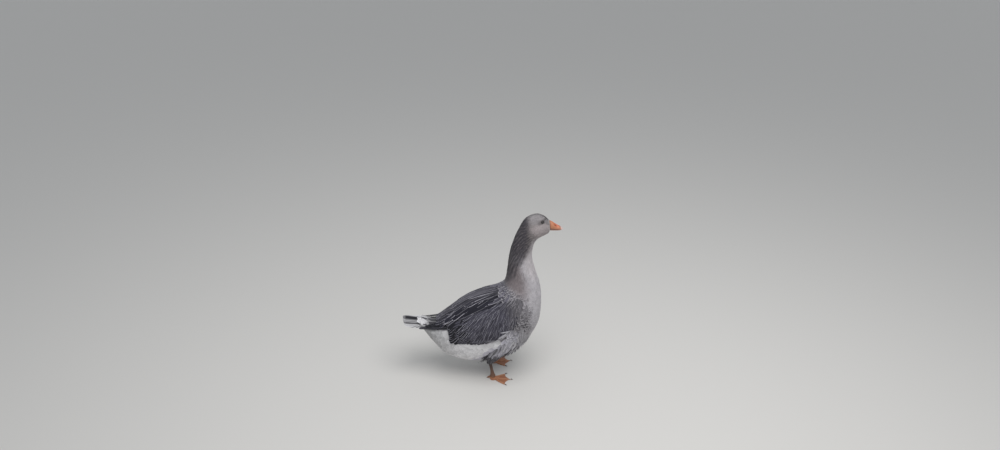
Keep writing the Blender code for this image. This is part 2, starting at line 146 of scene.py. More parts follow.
def furrow(s, a):
    """The neck's slanting ridges, -1 in a groove and 1 on a ridge: a sine of a and s together."""
    side = np.abs(np.cos(a))
    phase = FURROW_PACE * (s - NECK_BASE) + FURROW_SLANT * np.sin(a)
    up = np.sin(a)
    wander = 1.2 * np.sin(2.6 * s + 3.0 * up) + 0.7 * np.sin(6.3 * s - 5.0 * up)
    broken = 0.65 + 0.35 * np.sin(5.3 * s + 11.0 * up) * np.sin(8.9 * s - 7.0 * up)
    front = np.interp(s, (9.0, 10.3, 11.2, 12.0), (0.60, 0.15, -0.50, -0.95))
    strength = ease(9.3, 10.0, s) * fade(13.5, 14.3, s) * ease(0.05, 0.40, side)
    strength = strength * ease(front - 0.2, front + 0.2, up)
    return np.sin(phase + wander) * strength * broken


def relief(s, a):
    """Height over the plain form: furrows, the cheek's swell, the lore's hollow and the brow, added up."""
    side = np.abs(np.cos(a))
    up = np.sin(a)
    rise = 0.0011 * furrow(s, a)
    rise += 0.0012 * hump(14.3, 0.7, s) * hump(-0.35, 0.45, up) * side
    rise -= 0.0016 * hump(16.35, 0.35, s) * hump(0.30, 0.22, up) * side
    rise += 0.0008 * hump(15.9, 0.45, s) * hump(0.78, 0.15, up) * side
    return rise


def ground(points, u, v, closed_round):
    """A sampler of a surface given on a grid: place (u, v) -> point, normal, and the moves along u and v.

    It mixes the four grid corners round a place, each weighed by its nearness in u and in v.
    """
    along = np.gradient(points, u, axis=0)
    if closed_round:
        once = points[:, :-1]
        around = (np.roll(once, -1, axis=1) - np.roll(once, 1, axis=1)) / (2 * (v[1] - v[0]))
        around = np.concatenate([around, around[:, :1]], axis=1)
    else:
        around = np.gradient(points, v, axis=1)
    normal = unit(np.cross(around, along))
    channels = np.concatenate([points, normal, along, around], -1)

    def at(place):
        """The mix at each place."""
        i = np.clip((place[..., 0] - u[0]) / (u[1] - u[0]), 0.0, len(u) - 1.0001)
        j = (place[..., 1] - v[0]) / (v[1] - v[0])
        j = j % (len(v) - 1) if closed_round else np.clip(j, 0.0, len(v) - 1.0001)
        p, q = i.astype(int), j.astype(int)
        f, g = (i - p)[..., None], (j - q)[..., None]
        mixed = (channels[p, q] * (1 - g) + channels[p, q + 1] * g) * (1 - f)
        mixed += (channels[p + 1, q] * (1 - g) + channels[p + 1, q + 1] * g) * f
        return mixed[..., :3], unit(mixed[..., 3:6]), mixed[..., 6:9], mixed[..., 9:]

    return at


def body_ground(rings_a_section=24, sides=192):
    """The form with its relief, as a sampler."""
    s = np.linspace(0, BILL_BASE, BILL_BASE * rings_a_section + 1)
    a = np.linspace(0, FULL_TURN, sides + 1)
    grid_s, grid_a = np.meshgrid(s, a, indexing="ij")
    plain = body_form(grid_s, grid_a)
    at = ground(plain, s, a, True)
    _, normal, _, _ = at(np.stack([grid_s, grid_a], -1))
    return ground(plain + normal * relief(grid_s, grid_a)[..., None], s, a, True)


on_body = body_ground()


# ---------------------------------------------------------------------------------------------
# The goose's markings. They belong to skin and feathers alike: warm grey head, dark hind neck,
# pale grey breast, slate wings, and white from the legs back to under the tail.

def tone(red, green, blue):
    """A display colour, 0 to 255, as linear light."""
    c = np.array((red, green, blue)) / 255.0
    return np.where(c <= 0.04045, c / 12.92, ((c + 0.055) / 1.055) ** 2.4)


EYE_LOW, EYE_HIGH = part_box("eye_left")
EYE_MIDDLE = np.array(EYE_LOW + EYE_HIGH) / 2
EYE_ROOM = 0.0082  # from its middle to the nearest feather
CROWN = tone(146, 141, 142)
CHEEK = tone(162, 153, 153)
HIND_NECK = tone(66, 63, 69)
NECK_SIDE = tone(112, 104, 101)
FORE_NECK = tone(182, 176, 178)
NECK_BROWN = tone(120, 111, 112)
BREAST_PALE = tone(172, 168, 171)
BREAST_SIDE = tone(150, 147, 150)
SHOULDER_BROWN = tone(128, 124, 128)
MANTLE = tone(110, 107, 117)
RUMP_TOP = tone(60, 58, 62)
FLANK = tone(182, 179, 188)
FLANK_DARK = tone(58, 56, 62)
WHITE = tone(214, 212, 213)
# the belly's white in painted shade, at the vent under the tail
VENT_WHITE_SHADED = tone(164, 163, 163)
LORE = tone(66, 61, 62)
# The front of the mottled shoulder, and of the white belly, as lines of x over height.
SHOULDER_LINE = (
    (0.20, 0.24, 0.29, 0.347, 0.39, 0.4225, 0.445, 0.458),
    (0.112, 0.125, 0.138, 0.134, 0.126, 0.112, 0.090, 0.050),
)
BELLY_LINE = ((0.08, 0.14, 0.172, 0.205, 0.23), (-0.090, -0.072, -0.054, -0.012, 0.010))
# The front of the dark hind neck, as the sine of the turn round it, over the sections.
NECK_FRONT = (
    (8.2, 9.0, 9.8, 10.4, 10.9, 11.5, 12.2, 13.0, 13.6, 14.4),
    (0.96, 0.88, 0.60, 0.20, -0.28, -0.62, -0.70, -0.45, 0.15, 0.70),
)


def blend(under, over, share):
    """Tones laid over others: under + (over - under) share."""
    return under + (over - under) * np.asarray(share)[..., None]


def markings(s, a):
    """The plumage's ground colour at (s, a), as tones laid one over another by soft masks."""
    up = np.sin(a)
    spot = body_form(s, a)
    x, z = spot[..., 0] - MIDWAY, spot[..., 2]
    wave = 0.04 * np.sin(5 * s + 7 * up) + 0.03 * np.sin(11 * s - 5 * up)
    trunk = fade(8.3, 9.0, s)
    colour = blend(BREAST_PALE, BREAST_SIDE, fade(6.5, 8.6, s) * (0.10 + 0.70 * ease(-0.8, -0.1, up)))
    # trunk: mottled shoulder, dark mantle above, lilac flank, white below and behind the legs, greyed by
    # painted shade at the vent
    colour = blend(colour, FLANK, fade(5.0, 6.0, s) * fade(0.1, 0.5, up))
    behind_line = x - np.interp(z, *SHOULDER_LINE) + 0.15 * wave
    shoulder = fade(-0.036, 0.010, behind_line)
    colour = blend(colour, SHOULDER_BROWN, shoulder * ease(0.215, 0.275, z) * trunk)
    wing_front = shoulder * ease(0.270, 0.310, z) * fade(0.360, 0.405, z)
    colour = blend(colour, SHOULDER_BROWN * 0.62, wing_front * trunk)
    colour = blend(colour, MANTLE, ease(0.45, 0.80, up) * fade(7.6, 8.5, s + wave))
    below = -0.12 + 0.12 * fade(3.2, 4.6, s) + 0.45 * fade(2.0, 3.4, s)
    ahead = x - np.interp(z, *BELLY_LINE) + 0.2 * wave
    # painted shade: the white greys towards the vent, which faces down and back
    pale = blend(WHITE, VENT_WHITE_SHADED, fade(1.2, 3.4, s))
    colour = blend(colour, pale, fade(below, below + 0.20, up + wave) * fade(-0.008, 0.008, ahead))
    colour = blend(colour, RUMP_TOP, ease(0.50, 0.72, up) * fade(2.2, 3.6, s))
    wedge = s + 1.1 * (1 - up).clip(0, 0.6)
    colour = blend(colour, WHITE, fade(1.04, 1.18, wedge) * ease(-0.6, 0.0, up))
    colour = blend(colour, RUMP_TOP, hump(0.0, 0.24, np.cos(a)) * (up > 0) * fade(1.3, 1.5, s))
    # neck: dark behind, pale in front, with the furrows between
    neck_foot = ease(7.9, 8.8, s) * fade(10.4, 11.4, s)
    colour = blend(colour, NECK_BROWN, neck_foot * ease(-0.60, 0.30, up) * 0.95)
    colour = blend(colour, FORE_NECK, ease(9.2, 10.2, s) * fade(-0.75, -0.1, up))
    colour = blend(colour, NECK_SIDE, ease(10.8, 12.0, s) * ease(-1.0, -0.4, up) * 0.8)
    reach = np.interp(s, *NECK_FRONT)
    soft = 0.22 + 0.20 * ease(11.4, 12.6, s)
    dark = ease(reach - soft, reach + soft, up + 1.5 * wave) * ease(8.2, 8.8, s) * fade(14.3, 14.9, s)
    dark = dark * (0.78 + 0.22 * ease(10.6, 11.8, s))
    colour = blend(colour, HIND_NECK, dark * 0.9)
    ridge = furrow(s, a)
    colour = blend(colour, HIND_NECK * 0.6, np.clip(-ridge, 0, 1) ** 0.8 * 0.75)
    colour = blend(colour, NECK_BROWN, np.clip(ridge, 0, 1) ** 1.3 * 0.60)
    # head: paler cheek, grey crown, a dusky line from the bill's top to the eye
    colour = blend(colour, CHEEK, ease(13.6, 14.4, s) * fade(0.10, 0.60, up))
    colour = blend(colour, CROWN, ease(14.0, 14.9, s) * ease(0.20, 0.62, up))
    off_x, off_z = x + MIDWAY - EYE_MIDDLE[0], z - EYE_MIDDLE[2]
    brow = hump(0.0, 0.0026, off_z - 0.0030 - 0.17 * off_x) * ease(-0.002, 0.005, off_x) * (s > 14)
    colour = blend(colour, LORE, brow * 0.75)
    colour = blend(colour, LORE * 0.7, hump(0.0, 0.0090, np.hypot(off_x, off_z * 1.3)) * 0.9)
    colour = blend(colour, CROWN * 0.8, hump(16.95, 0.30, s) * ease(0.0, 0.6, up) * 0.6)
    return np.clip(colour, 0, 1)


# ---------------------------------------------------------------------------------------------
# Feathers. Each is a thin closed vane, arched across, that is laid along the body from its root:
# its spine marches down the lie of the plumage and its rims follow the form, so it hugs it.
# Roots lie lower than tips, as shingles do.

def moved(at, place, way):
    """The place reached by moving way metres along the surface, whose metric turns way into (u, v)."""
    _, _, along, around = at(place)
    e, f, g = dot(along, along), dot(along, around), dot(around, around)
    p, q = dot(along, way), dot(around, way)
    area = np.maximum(e * g - f * f, 1e-16)
    return place + np.stack([(g * p - f * q) / area, (e * q - f * p) / area], -1)


def heading(at, place, lie):
    """The unit way of the lie in the surface at each place, with point and normal."""
    point, normal, along, _ = at(place)
    way = lie(place, point, normal, along)
    way = unit(way - normal * dot(way, normal)[..., None])
    return point, normal, way


def turned(way, normal, angle):
    """way turned by angle about normal: way cos + (normal x way) sin."""
    angle = np.asarray(angle)[..., None]
    return way * np.cos(angle) + np.cross(normal, way) * np.sin(angle)


def blunt_end(t, start, reach, least):
    """A vane's rounded end: sqrt(1 - ((t - start) / reach)^2) past start, never under sqrt(least)."""
    return np.sqrt(np.clip(1 - (np.clip(t - start, 0, 1) / reach) ** 2, least, 1))


def rounded(t):
    """Half width of a body feather: it widens from the quill and ends in a half round."""
    return (0.35 + 0.65 * ease(0.0, 0.45, t)) * blunt_end(t, 0.60, 0.405, 0.012)


def pointed(t):
    """Half width of a slender feather: an arch of sine from quill to tip."""
    return np.maximum(np.sin(math.pi * (0.10 + 0.86 * t)) ** 0.75, 0.10)


def strap(t):
    """Half width of a flight feather: near even, with a short rounded end."""
    return (0.55 + 0.45 * ease(0.0, 0.30, t)) * blunt_end(t, 0.82, 0.182, 0.02)


def lay_vanes(at, root, lie, length, width, low, high, outline=rounded, rings=7, across=5, yaw=0.0, roll=0.0,
              arch=0.07, thick=0.00035, curl=0.0):
    """Vertices (feather, ring, round it, xyz) and vane map (across, along) of feathers laid from their roots.

    Height over the surface is low + (high - low) t, plus the arch across, plus roll from rim to rim. Each
    ring's last vertex lies under its middle and gives the vane its thickness.
    """
    count = len(root)
    length, width, low, high, yaw, roll, curl = (
        np.broadcast_to(np.asarray(x, float), (count,)) for x in (length, width, low, high, yaw, roll, curl)
    )
    t = np.sin(np.linspace(0, 1, rings) * math.pi / 2)
    reach = np.linspace(-1, 1, across)
    place = root
    points = np.empty((count, rings, across + 1, 3))
    for ring in range(rings):
        if ring:
            place = moved(at, place, way * (length * (t[ring] - t[ring - 1]))[:, None])
        _, normal, way = heading(at, place, lie)
        way = turned(way, normal, yaw)
        aside = np.cross(normal, way)
        half = width * 0.5 * outline(t[ring])
        height = low + (high - low) * t[ring] + curl * t[ring] ** 4
        off = aside[:, None] * (half[:, None] * reach)[..., None]
        spot = moved(at, np.repeat(place[:, None], across, 1), off)
        on, out, _, _ = at(spot)
        top = height[:, None] + arch * half[:, None] * (1 - reach**2) * 2 + roll[:, None] * reach
        points[:, ring, :across] = on + out * top[..., None]
        points[:, ring, across] = points[:, ring, across // 2] - normal * thick
    vane = np.empty((rings, across + 1, 2))
    vane[..., 0] = np.append(reach, 0.0) * 0.5 + 0.5
    vane[..., 1] = t[:, None]
    return points, np.broadcast_to(vane, (count, rings, across + 1, 2))


def ring_quads(rings, sides, looped=False):
    """Faces between closed rings of vertices, as vertex numbers; looped joins the last ring to the first."""
    ring, k = np.meshgrid(np.arange(rings if looped else rings - 1), np.arange(sides), indexing="ij")
    after, above = (k + 1) % sides, (ring + 1) % rings
    corners = ring * sides + k, ring * sides + after, above * sides + after, above * sides + k
    return np.stack(corners, -1).reshape(-1, 4)


def vane_faces(count, rings, across):
    """Quads along each vane, then its two end fans about the lower middle line, as vertex numbers."""
    round_it = across + 1
    quads = np.roll(ring_quads(rings, round_it)[:, ::-1], 1, axis=1)  # turned outwards
    fan = np.arange(across - 1)
    last = (rings - 1) * round_it
    caps = np.concatenate([
        np.stack([fan, fan + 1, np.full_like(fan, across)], -1),
        np.stack([last + fan + 1, last + fan, np.full_like(fan, last + across)], -1),
    ])
    start = (np.arange(count) * rings * round_it)[:, None, None]
    return (start + quads).reshape(-1, 4), (start + caps).reshape(-1, 3)


def mesh_from(name, points, quads, triangles):
    """A mesh from arrays of points, four-cornered faces and three-cornered faces."""
    mesh = bpy.data.meshes.new(name)
    corners = np.concatenate([quads.ravel(), triangles.ravel()]).astype(np.int32)
    sizes = np.concatenate([np.full(len(quads), 4), np.full(len(triangles), 3)])
    mesh.vertices.add(len(points))
    mesh.vertices.foreach_set("co", points.astype(np.float32).ravel())
    mesh.loops.add(len(corners))
    mesh.loops.foreach_set("vertex_index", corners)
    mesh.polygons.add(len(sizes))
    mesh.polygons.foreach_set("loop_start", np.concatenate([[0], np.cumsum(sizes)[:-1]]).astype(np.int32))
    mesh.update(calc_edges=True)
    mesh.validate()
    return mesh


def colour_layer(mesh, name, colours, fourth=1.0):
    """A colour for each vertex, and a fourth value beside it."""
    full = np.empty((len(colours), 4), np.float32)
    full[:, :3] = colours
    full[:, 3] = fourth
    layer = mesh.color_attributes.new(name, "FLOAT_COLOR", "POINT")
    layer.data.foreach_set("color", full.ravel())


def map_layer(mesh, name, places):
    """A UV map from a place for each vertex."""
    corner = np.empty(len(mesh.loops), np.int32)
    mesh.loops.foreach_get("vertex_index", corner)
    layer = mesh.uv_layers.new(name=name)
    layer.data.foreach_set("uv", places[corner].astype(np.float32).ravel())


def in_scene(name, data):
    """A new object of this mesh, lamp or camera, linked to the scene."""
    obj = bpy.data.objects.new(name, data)
    bpy.context.scene.collection.objects.link(obj)
    return obj


def shown(name, mesh, material):
    """The piece: one smooth-shaded object with its material, riding on the goose."""
    mesh.shade_smooth()
    mesh.materials.append(material)
    obj = in_scene(name, mesh)
    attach(obj, "root")
    return obj


PATCH = 0.003  # a feather's patch on the bake map
# painted shade: a feather is darker at its root, where the feathers over it would shade it
ROOT_PAINTED_SHADE = 0.80  # a feather's ground colour at its root, as a share of its tip's
VANE_CREASE = math.radians(75)


def coat(name, batches, material):
    """One coat piece from batches of feathers.

    A batch is (points, vane, root places scaled to 0..1, ground colour, rim colour, rim share). On the bake
    map a vertex lies at its feather's root place, plus its place in the vane times the patch.
    """
    parts = []
    start = 0
    for points, vane, home, tint, rim, rim_share in batches:
        count, rings, round_it = points.shape[:3]
        quads, tris = vane_faces(count, rings, round_it - 1)
        bake = home[:, None, None, :] * (1 - 2 * PATCH) + PATCH + (vane - 0.5) * PATCH
        # painted shade: the ground colour darkens from the feather's tip to its root
        tint_with_root_shade = tint[:, None, None, :] * (ROOT_PAINTED_SHADE + (1 - ROOT_PAINTED_SHADE) * vane[..., 1:])
        rim_tint = np.broadcast_to(np.broadcast_to(rim, (count, 3))[:, None, None, :], points.shape)
        share = np.broadcast_to(np.broadcast_to(rim_share, (count,))[:, None, None], points.shape[:3])
        parts.append((
            points.reshape(-1, 3), quads + start, tris + start, bake.reshape(-1, 2), vane.reshape(-1, 2),
            tint_with_root_shade.reshape(-1, 3), rim_tint.reshape(-1, 3), share.ravel(),
        ))
        start += count * rings * round_it
    points, quads, tris, bake, vane, tint, rim, share = (np.concatenate(part) for part in zip(*parts))
    mesh = mesh_from(name, points, quads, tris)
    map_layer(mesh, "OFBake", bake)
    map_layer(mesh, "vane", vane)
    colour_layer(mesh, "tint", tint)
    colour_layer(mesh, "rim", rim, share)
    obj = shown(name, mesh, material)
    mesh.set_sharp_from_angle(angle=VANE_CREASE)
    return obj


def roots_in_rows(at, span, columns, row, rng, stray=0.22, low_a=0.0, high_a=FULL_TURN):
    """Root places in columns round the form, a row apart along each, every other column staggered.

    A row is a distance, or a function that gives it along the form. Columns are evenly spaced by the length
    round the middle section. Returns places, the room across and the room along for each.
    """
    if not callable(row):
        distance = row

        def row(s):
            """The one distance, everywhere."""
            return np.full_like(s, distance)

    fine_a = np.linspace(low_a, high_a, 721)
    middle = np.full_like(fine_a, (span[0] + span[1]) / 2)
    points = at(np.stack([middle, fine_a], -1))[0]
    walked = np.append(0, np.cumsum(np.linalg.norm(np.diff(points, axis=0), axis=1)))
    angles = np.interp((np.arange(columns) + 0.5) / columns * walked[-1], walked, fine_a)
    fine_s = np.linspace(span[0], span[1], 240)
    found = []
    for number, angle in enumerate(angles):
        place = np.stack([fine_s, np.full_like(fine_s, angle)], -1)
        speed = np.linalg.norm(at(place)[2], axis=-1) / row(fine_s)
        rows = np.append(0, np.cumsum((speed[1:] + speed[:-1]) / 2 * np.diff(fine_s)))
        wanted = np.arange(0.5 * (number % 2), rows[-1], 1.0)
        found.append(np.stack([np.interp(wanted, rows, fine_s), np.full_like(wanted, angle)], -1))
    place = np.concatenate(found)
    around = np.linalg.norm(at(place)[3], axis=-1)
    room_across = around * (high_a - low_a) / columns
    room_along = row(place[:, 0])
    shift_along = rng.uniform(-stray, stray, len(place)) * room_along
    shift_across = rng.uniform(-stray, stray, len(place)) * room_across
    place[:, 1] += shift_across / np.maximum(around, 1e-6)
    place[:, 0] += shift_along / np.maximum(np.linalg.norm(at(place)[2], axis=-1), 1e-6)
    return place, room_across, room_along


def varied(rng, colour, spread):
    """Each feather's colour, lighter or darker by a share drawn for it."""
    return np.clip(colour * (1 + rng.uniform(-spread, spread, len(colour)))[:, None], 0, 1)


def new_group(name, inputs, outputs):
    """An empty shader node group with named inputs (name, kind, value) and outputs (name, kind)."""
    group = bpy.data.node_groups.new(name, "ShaderNodeTree")
    for label, kind, value in inputs:
        socket = group.interface.new_socket(label, in_out="INPUT", socket_type=kind)
        socket.default_value = value
    for label, kind in outputs:
        group.interface.new_socket(label, in_out="OUTPUT", socket_type=kind)
    return group, group.nodes.new("NodeGroupInput"), group.nodes.new("NodeGroupOutput")


def calculate(tree, operation, *values, clamp=False):
    """A Math node; each value is a number or a socket."""
    node = tree.nodes.new("ShaderNodeMath")
    node.operation = operation
    node.use_clamp = clamp
    for socket, value in zip(node.inputs, values):
        if isinstance(value, (int, float)):
            socket.default_value = value
        else:
            tree.links.new(value, socket)
    return node.outputs[0]


def ramp(tree, value, low, high):
    """A Map Range node that eases value from 0 at low to 1 at high."""
    node = tree.nodes.new("ShaderNodeMapRange")
    node.interpolation_type = "SMOOTHSTEP"
    for label, given in (("Value", value), ("From Min", low), ("From Max", high)):
        if isinstance(given, (int, float)):
            node.inputs[label].default_value = given
        else:
            tree.links.new(given, node.inputs[label])
    return node.outputs["Result"]


def mix(tree, share, under, over, way="MIX"):
    """A colour Mix node; share is a number or a socket."""
    node = tree.nodes.new("ShaderNodeMix")
    node.data_type = "RGBA"
    node.blend_type = way
    if isinstance(share, (int, float)):
        node.inputs["Factor"].default_value = share
    else:
        tree.links.new(share, node.inputs["Factor"])
    for socket, value in ((node.inputs[6], under), (node.inputs[7], over)):
        if isinstance(value, tuple):
            socket.default_value = value
        else:
            tree.links.new(value, socket)
    return node.outputs[2]


def noise(tree, scale, detail=2.0):
    """Noise on Object coordinates; scale and detail are numbers or sockets."""
    node = tree.nodes.new("ShaderNodeTexNoise")
    for label, given in (("Scale", scale), ("Detail", detail)):
        if isinstance(given, (int, float)):
            node.inputs[label].default_value = given
        else:
            tree.links.new(given, node.inputs[label])
    tree.links.new(tree.nodes.new("ShaderNodeTexCoord").outputs["Object"], node.inputs["Vector"])
    return node.outputs["Fac"]


def shaded(tree, colour, light):
    """A colour times a grey light, both sockets."""
    shade = tree.nodes.new("ShaderNodeCombineColor")
    for socket in shade.inputs:
        tree.links.new(light, socket)
    return mix(tree, 1.0, colour, shade.outputs[0], "MULTIPLY")


def new_material(name, constants):
    """A material, its node tree and its shader, with constants on the shader's own sockets."""
    made = bpy.data.materials.new(name)
    made.use_nodes = True
    shader = made.node_tree.nodes["Principled BSDF"]
    for label, value in constants.items():
        shader.inputs[label].default_value = value
    return made, made.node_tree, shader


def placed(tree, group, constants):
    """A node group put into a material, with its own values."""
    node = tree.nodes.new("ShaderNodeGroup")
    node.node_tree = group
    for label, value in constants.items():
        node.inputs[label].default_value = value
    return node


def layer_reader(tree, name):
    """A reader of one of the mesh's colour layers."""
    reader = tree.nodes.new("ShaderNodeAttribute")
    reader.attribute_name = name
    return reader


def relieved(tree, shader, height, strength, distance):
    """Fine relief: height turned into a bump of the shader's normal."""
    node = tree.nodes.new("ShaderNodeBump")
    node.inputs["Strength"].default_value = strength
    node.inputs["Distance"].default_value = distance
    tree.links.new(height, node.inputs["Height"])
    tree.links.new(node.outputs["Normal"], shader.inputs["Normal"])


def vane_pattern():
    """The look of one feather: pale rim, shaft line, slanting barbs and soft blotches, from its vane map."""
    group, given, out = new_group(
        "vane pattern",
        (("Ground", "NodeSocketColor", (0.2, 0.2, 0.2, 1)), ("Rim", "NodeSocketColor", (0.5, 0.5, 0.5, 1)),
         ("Rim share", "NodeSocketFloat", 1.0), ("Rim width", "NodeSocketFloat", 0.3),
         ("Tip power", "NodeSocketFloat", 2.2),
         ("Barbs", "NodeSocketFloat", 60.0), ("Barb depth", "NodeSocketFloat", 0.1)),
        (("Color", "NodeSocketColor"), ("Height", "NodeSocketFloat")),
    )
    uv = group.nodes.new("ShaderNodeUVMap")
    uv.uv_map = "vane"
    split = group.nodes.new("ShaderNodeSeparateXYZ")
    group.links.new(uv.outputs[0], split.inputs[0])
    aside = calculate(group, "ABSOLUTE", calculate(group, "MULTIPLY_ADD", split.outputs[0], 2.0, -1.0))
    along = split.outputs[1]
    # the rim: the farther of aside and along's last stretch
    tip = calculate(group, "POWER", along, given.outputs["Tip power"])
    edge = calculate(group, "MAXIMUM", aside, tip)
    patchy = noise(group, 220.0)
    edge = calculate(group, "ADD", edge, calculate(group, "MULTIPLY_ADD", patchy, 0.12, -0.06))
    start = calculate(group, "SUBTRACT", 1.0, given.outputs["Rim width"])
    full = calculate(group, "MULTIPLY_ADD", given.outputs["Rim width"], -0.45, 1.0)
    rim = ramp(group, edge, start, full)
    rim = calculate(group, "MULTIPLY", rim, given.outputs["Rim share"], clamp=True)
    # barbs slant from the shaft to the rim
    slant = calculate(group, "SUBTRACT", along, calculate(group, "MULTIPLY", aside, 0.16))
    barb = calculate(group, "SINE", calculate(group, "MULTIPLY", slant, given.outputs["Barbs"]))
    barb = calculate(group, "MULTIPLY", barb, given.outputs["Barb depth"])
    shaft = calculate(group, "SUBTRACT", 1.0, ramp(group, aside, 0.0, 0.10))
    broken = noise(group, 55.0, 3.0)
    light = calculate(group, "ADD", calculate(group, "MULTIPLY_ADD", broken, 0.5, 0.75), barb)
    light = calculate(group, "SUBTRACT", light, calculate(group, "MULTIPLY", shaft, 0.18))
    base = shaded(group, given.outputs["Ground"], light)
    group.links.new(mix(group, rim, base, given.outputs["Rim"]), out.inputs["Color"])
    barb_height = calculate(group, "MULTIPLY", barb, 0.5)
    height = calculate(group, "ADD", barb_height, calculate(group, "MULTIPLY", shaft, 0.4))
    group.links.new(height, out.inputs["Height"])
    return group


vane_group = vane_pattern()
BARB_RELIEF = 0.0006


def plumage(name, rim_width, tip_power, barbs, barb_depth, roughness, sheen, bump):
    """A feather material: the vane pattern on the piece's own tint and rim layers."""
    made, tree, shader = new_material(name, {
        "Roughness": roughness, "Sheen Weight": sheen, "Sheen Roughness": 0.5, "Specular IOR Level": 0.25,
    })
    pattern = placed(tree, vane_group, {
        "Rim width": rim_width, "Tip power": tip_power, "Barbs": barbs, "Barb depth": barb_depth,
    })
    rim = layer_reader(tree, "rim")
    tree.links.new(layer_reader(tree, "tint").outputs["Color"], pattern.inputs["Ground"])
    tree.links.new(rim.outputs["Color"], pattern.inputs["Rim"])
    tree.links.new(rim.outputs["Alpha"], pattern.inputs["Rim share"])
    tree.links.new(pattern.outputs["Color"], shader.inputs["Base Color"])
    relieved(tree, shader, pattern.outputs["Height"], bump, BARB_RELIEF)
    return made


soft_plumage = plumage("soft_plumage", 0.45, 3.0, 40.0, 0.03, 0.88, 0.10, 0.10)
body_plumage = plumage("body_plumage", 0.34, 2.6, 110.0, 0.035, 0.85, 0.10, 0.20)
covert_plumage = plumage("covert_plumage", 0.32, 9.0, 70.0, 0.08, 0.78, 0.02, 0.25)
flight_plumage = plumage("flight_plumage", 0.26, 14.0, 150.0, 0.07, 0.72, 0.0, 0.30)
tail_plumage = plumage("tail_plumage", 0.42, 3.2, 150.0, 0.05, 0.72, 0.0, 0.30)

# Row distance of the plumage along the body: broad feathers on the trunk, tiny ones by the bill.
ROW_STOPS = np.array((0.0, 2.0, 5.0, 7.0, 8.0, 9.0, 10.0, 12.0, 13.0, 14.0, 16.0, 17.0))
ROW_SIZES = np.array((15.0, 15.0, 14.0, 11.0, 9.5, 8.0, 6.8, 5.6, 4.6, 3.7, 2.8, 2.3)) / 1000


def row_on_body(s):
    """Row distance at section s."""
    return np.interp(s, ROW_STOPS, ROW_SIZES)


WING_TOP = np.array(((0.084, 0.412), (0.045, 0.412), (-0.030, 0.382), (-0.130, 0.340), (-0.228, 0.287)))
WING_LOW = np.array((
    (0.090, 0.392), (0.079, 0.332), (0.042, 0.280), (-0.020, 0.236), (-0.090, 0.214), (-0.156, 0.211),
    (-0.213, 0.200),
))
WING_REAR, WING_FRONT = -0.225, 0.086


def under_wing(point, margin):
    """True where a point of the side lies behind the folded wing, at least margin inside its outline."""
    x = point[..., 0] - MIDWAY
    u = np.linspace(0, 1, 60)
    top = smooth_course(WING_TOP, u * (len(WING_TOP) - 1))
    low = smooth_course(WING_LOW, u * (len(WING_LOW) - 1))
    roof = np.interp(x, top[::-1, 0], top[::-1, 1]) - margin
    sill = np.interp(x, low[::-1, 0], low[::-1, 1]) + margin
    inside = (x > WING_REAR + margin) & (x < WING_FRONT - margin)
    return inside & (point[..., 2] < roof) & (point[..., 2] > sill)


# The folded wing's upper edge: degrees from the ridge of the back, over the sections.
WING_LINE_S = np.array((0.0, 1.9, 3.5, 5.3, 7.0, 8.2))
WING_LINE_TURN = np.array((0.0, 22.0, 35.0, 42.0, 58.0, 50.0))


def from_ridge(place):
    """Angle from the ridge of the back, in degrees, on either side."""
    return np.abs((np.degrees(place[..., 1]) - 90.0 + 180.0) % 360.0 - 180.0)


def under_scapulars(place):
    """True where the scapulars hide the back between the wings."""
    s = place[..., 0]
    edge = np.interp(s, WING_LINE_S, WING_LINE_TURN)
    return (s > 1.2) & (s < 6.3) & (from_ridge(place) < edge + 6.0)


def clear_of_eye(points):
    """True for feathers whose every vertex keeps clear of both eyes."""
    left, right = (np.linalg.norm(points - EYE_MIDDLE * (1, sign, 1), axis=-1) for sign in (1, -1))
    return np.minimum(left, right).reshape(len(points), -1).min(axis=1) > EYE_ROOM


def lie_of_body(place, point, normal, along):
    """Feathers point from the bill to the tail; neck feathers slant to the nape, flank feathers hang."""
    s, a = place[..., 0], place[..., 1]
    way = unit(-along)
    neck = ease(9.4, 10.6, s) * fade(13.0, 14.0, s) * ease(0.2, 0.8, np.abs(np.cos(a)))
    flank = ease(2.4, 3.4, s) * fade(5.6, 6.8, s) * fade(0.2, 0.6, np.sin(a))
    way = way + neck[..., None] * np.array((-0.62, 0.0, 0.0))
    return way + flank[..., None] * np.array((0.10, 0.0, -0.55))


def home_of(place, span):
    """Root places scaled to 0..1 over a piece's own stretch, as an unwrap of its form."""
    low, high = span
    turn = (place[:, 1] % FULL_TURN) / FULL_TURN
    return np.stack([turn, (place[:, 0] - low) / (high - low)], -1).clip(0, 1)


DEPTH_STOPS = (0, 6, 9, 13, 17)  # sections where the coat's depth is given
ROOT_DEPTHS = (0.0042, 0.0042, 0.0032, 0.0018, 0.0011)
WING_COVER = 0.022  # feathers rooted farther under the wing than this are left out
BILL_FEATHERS_END = 0.2035


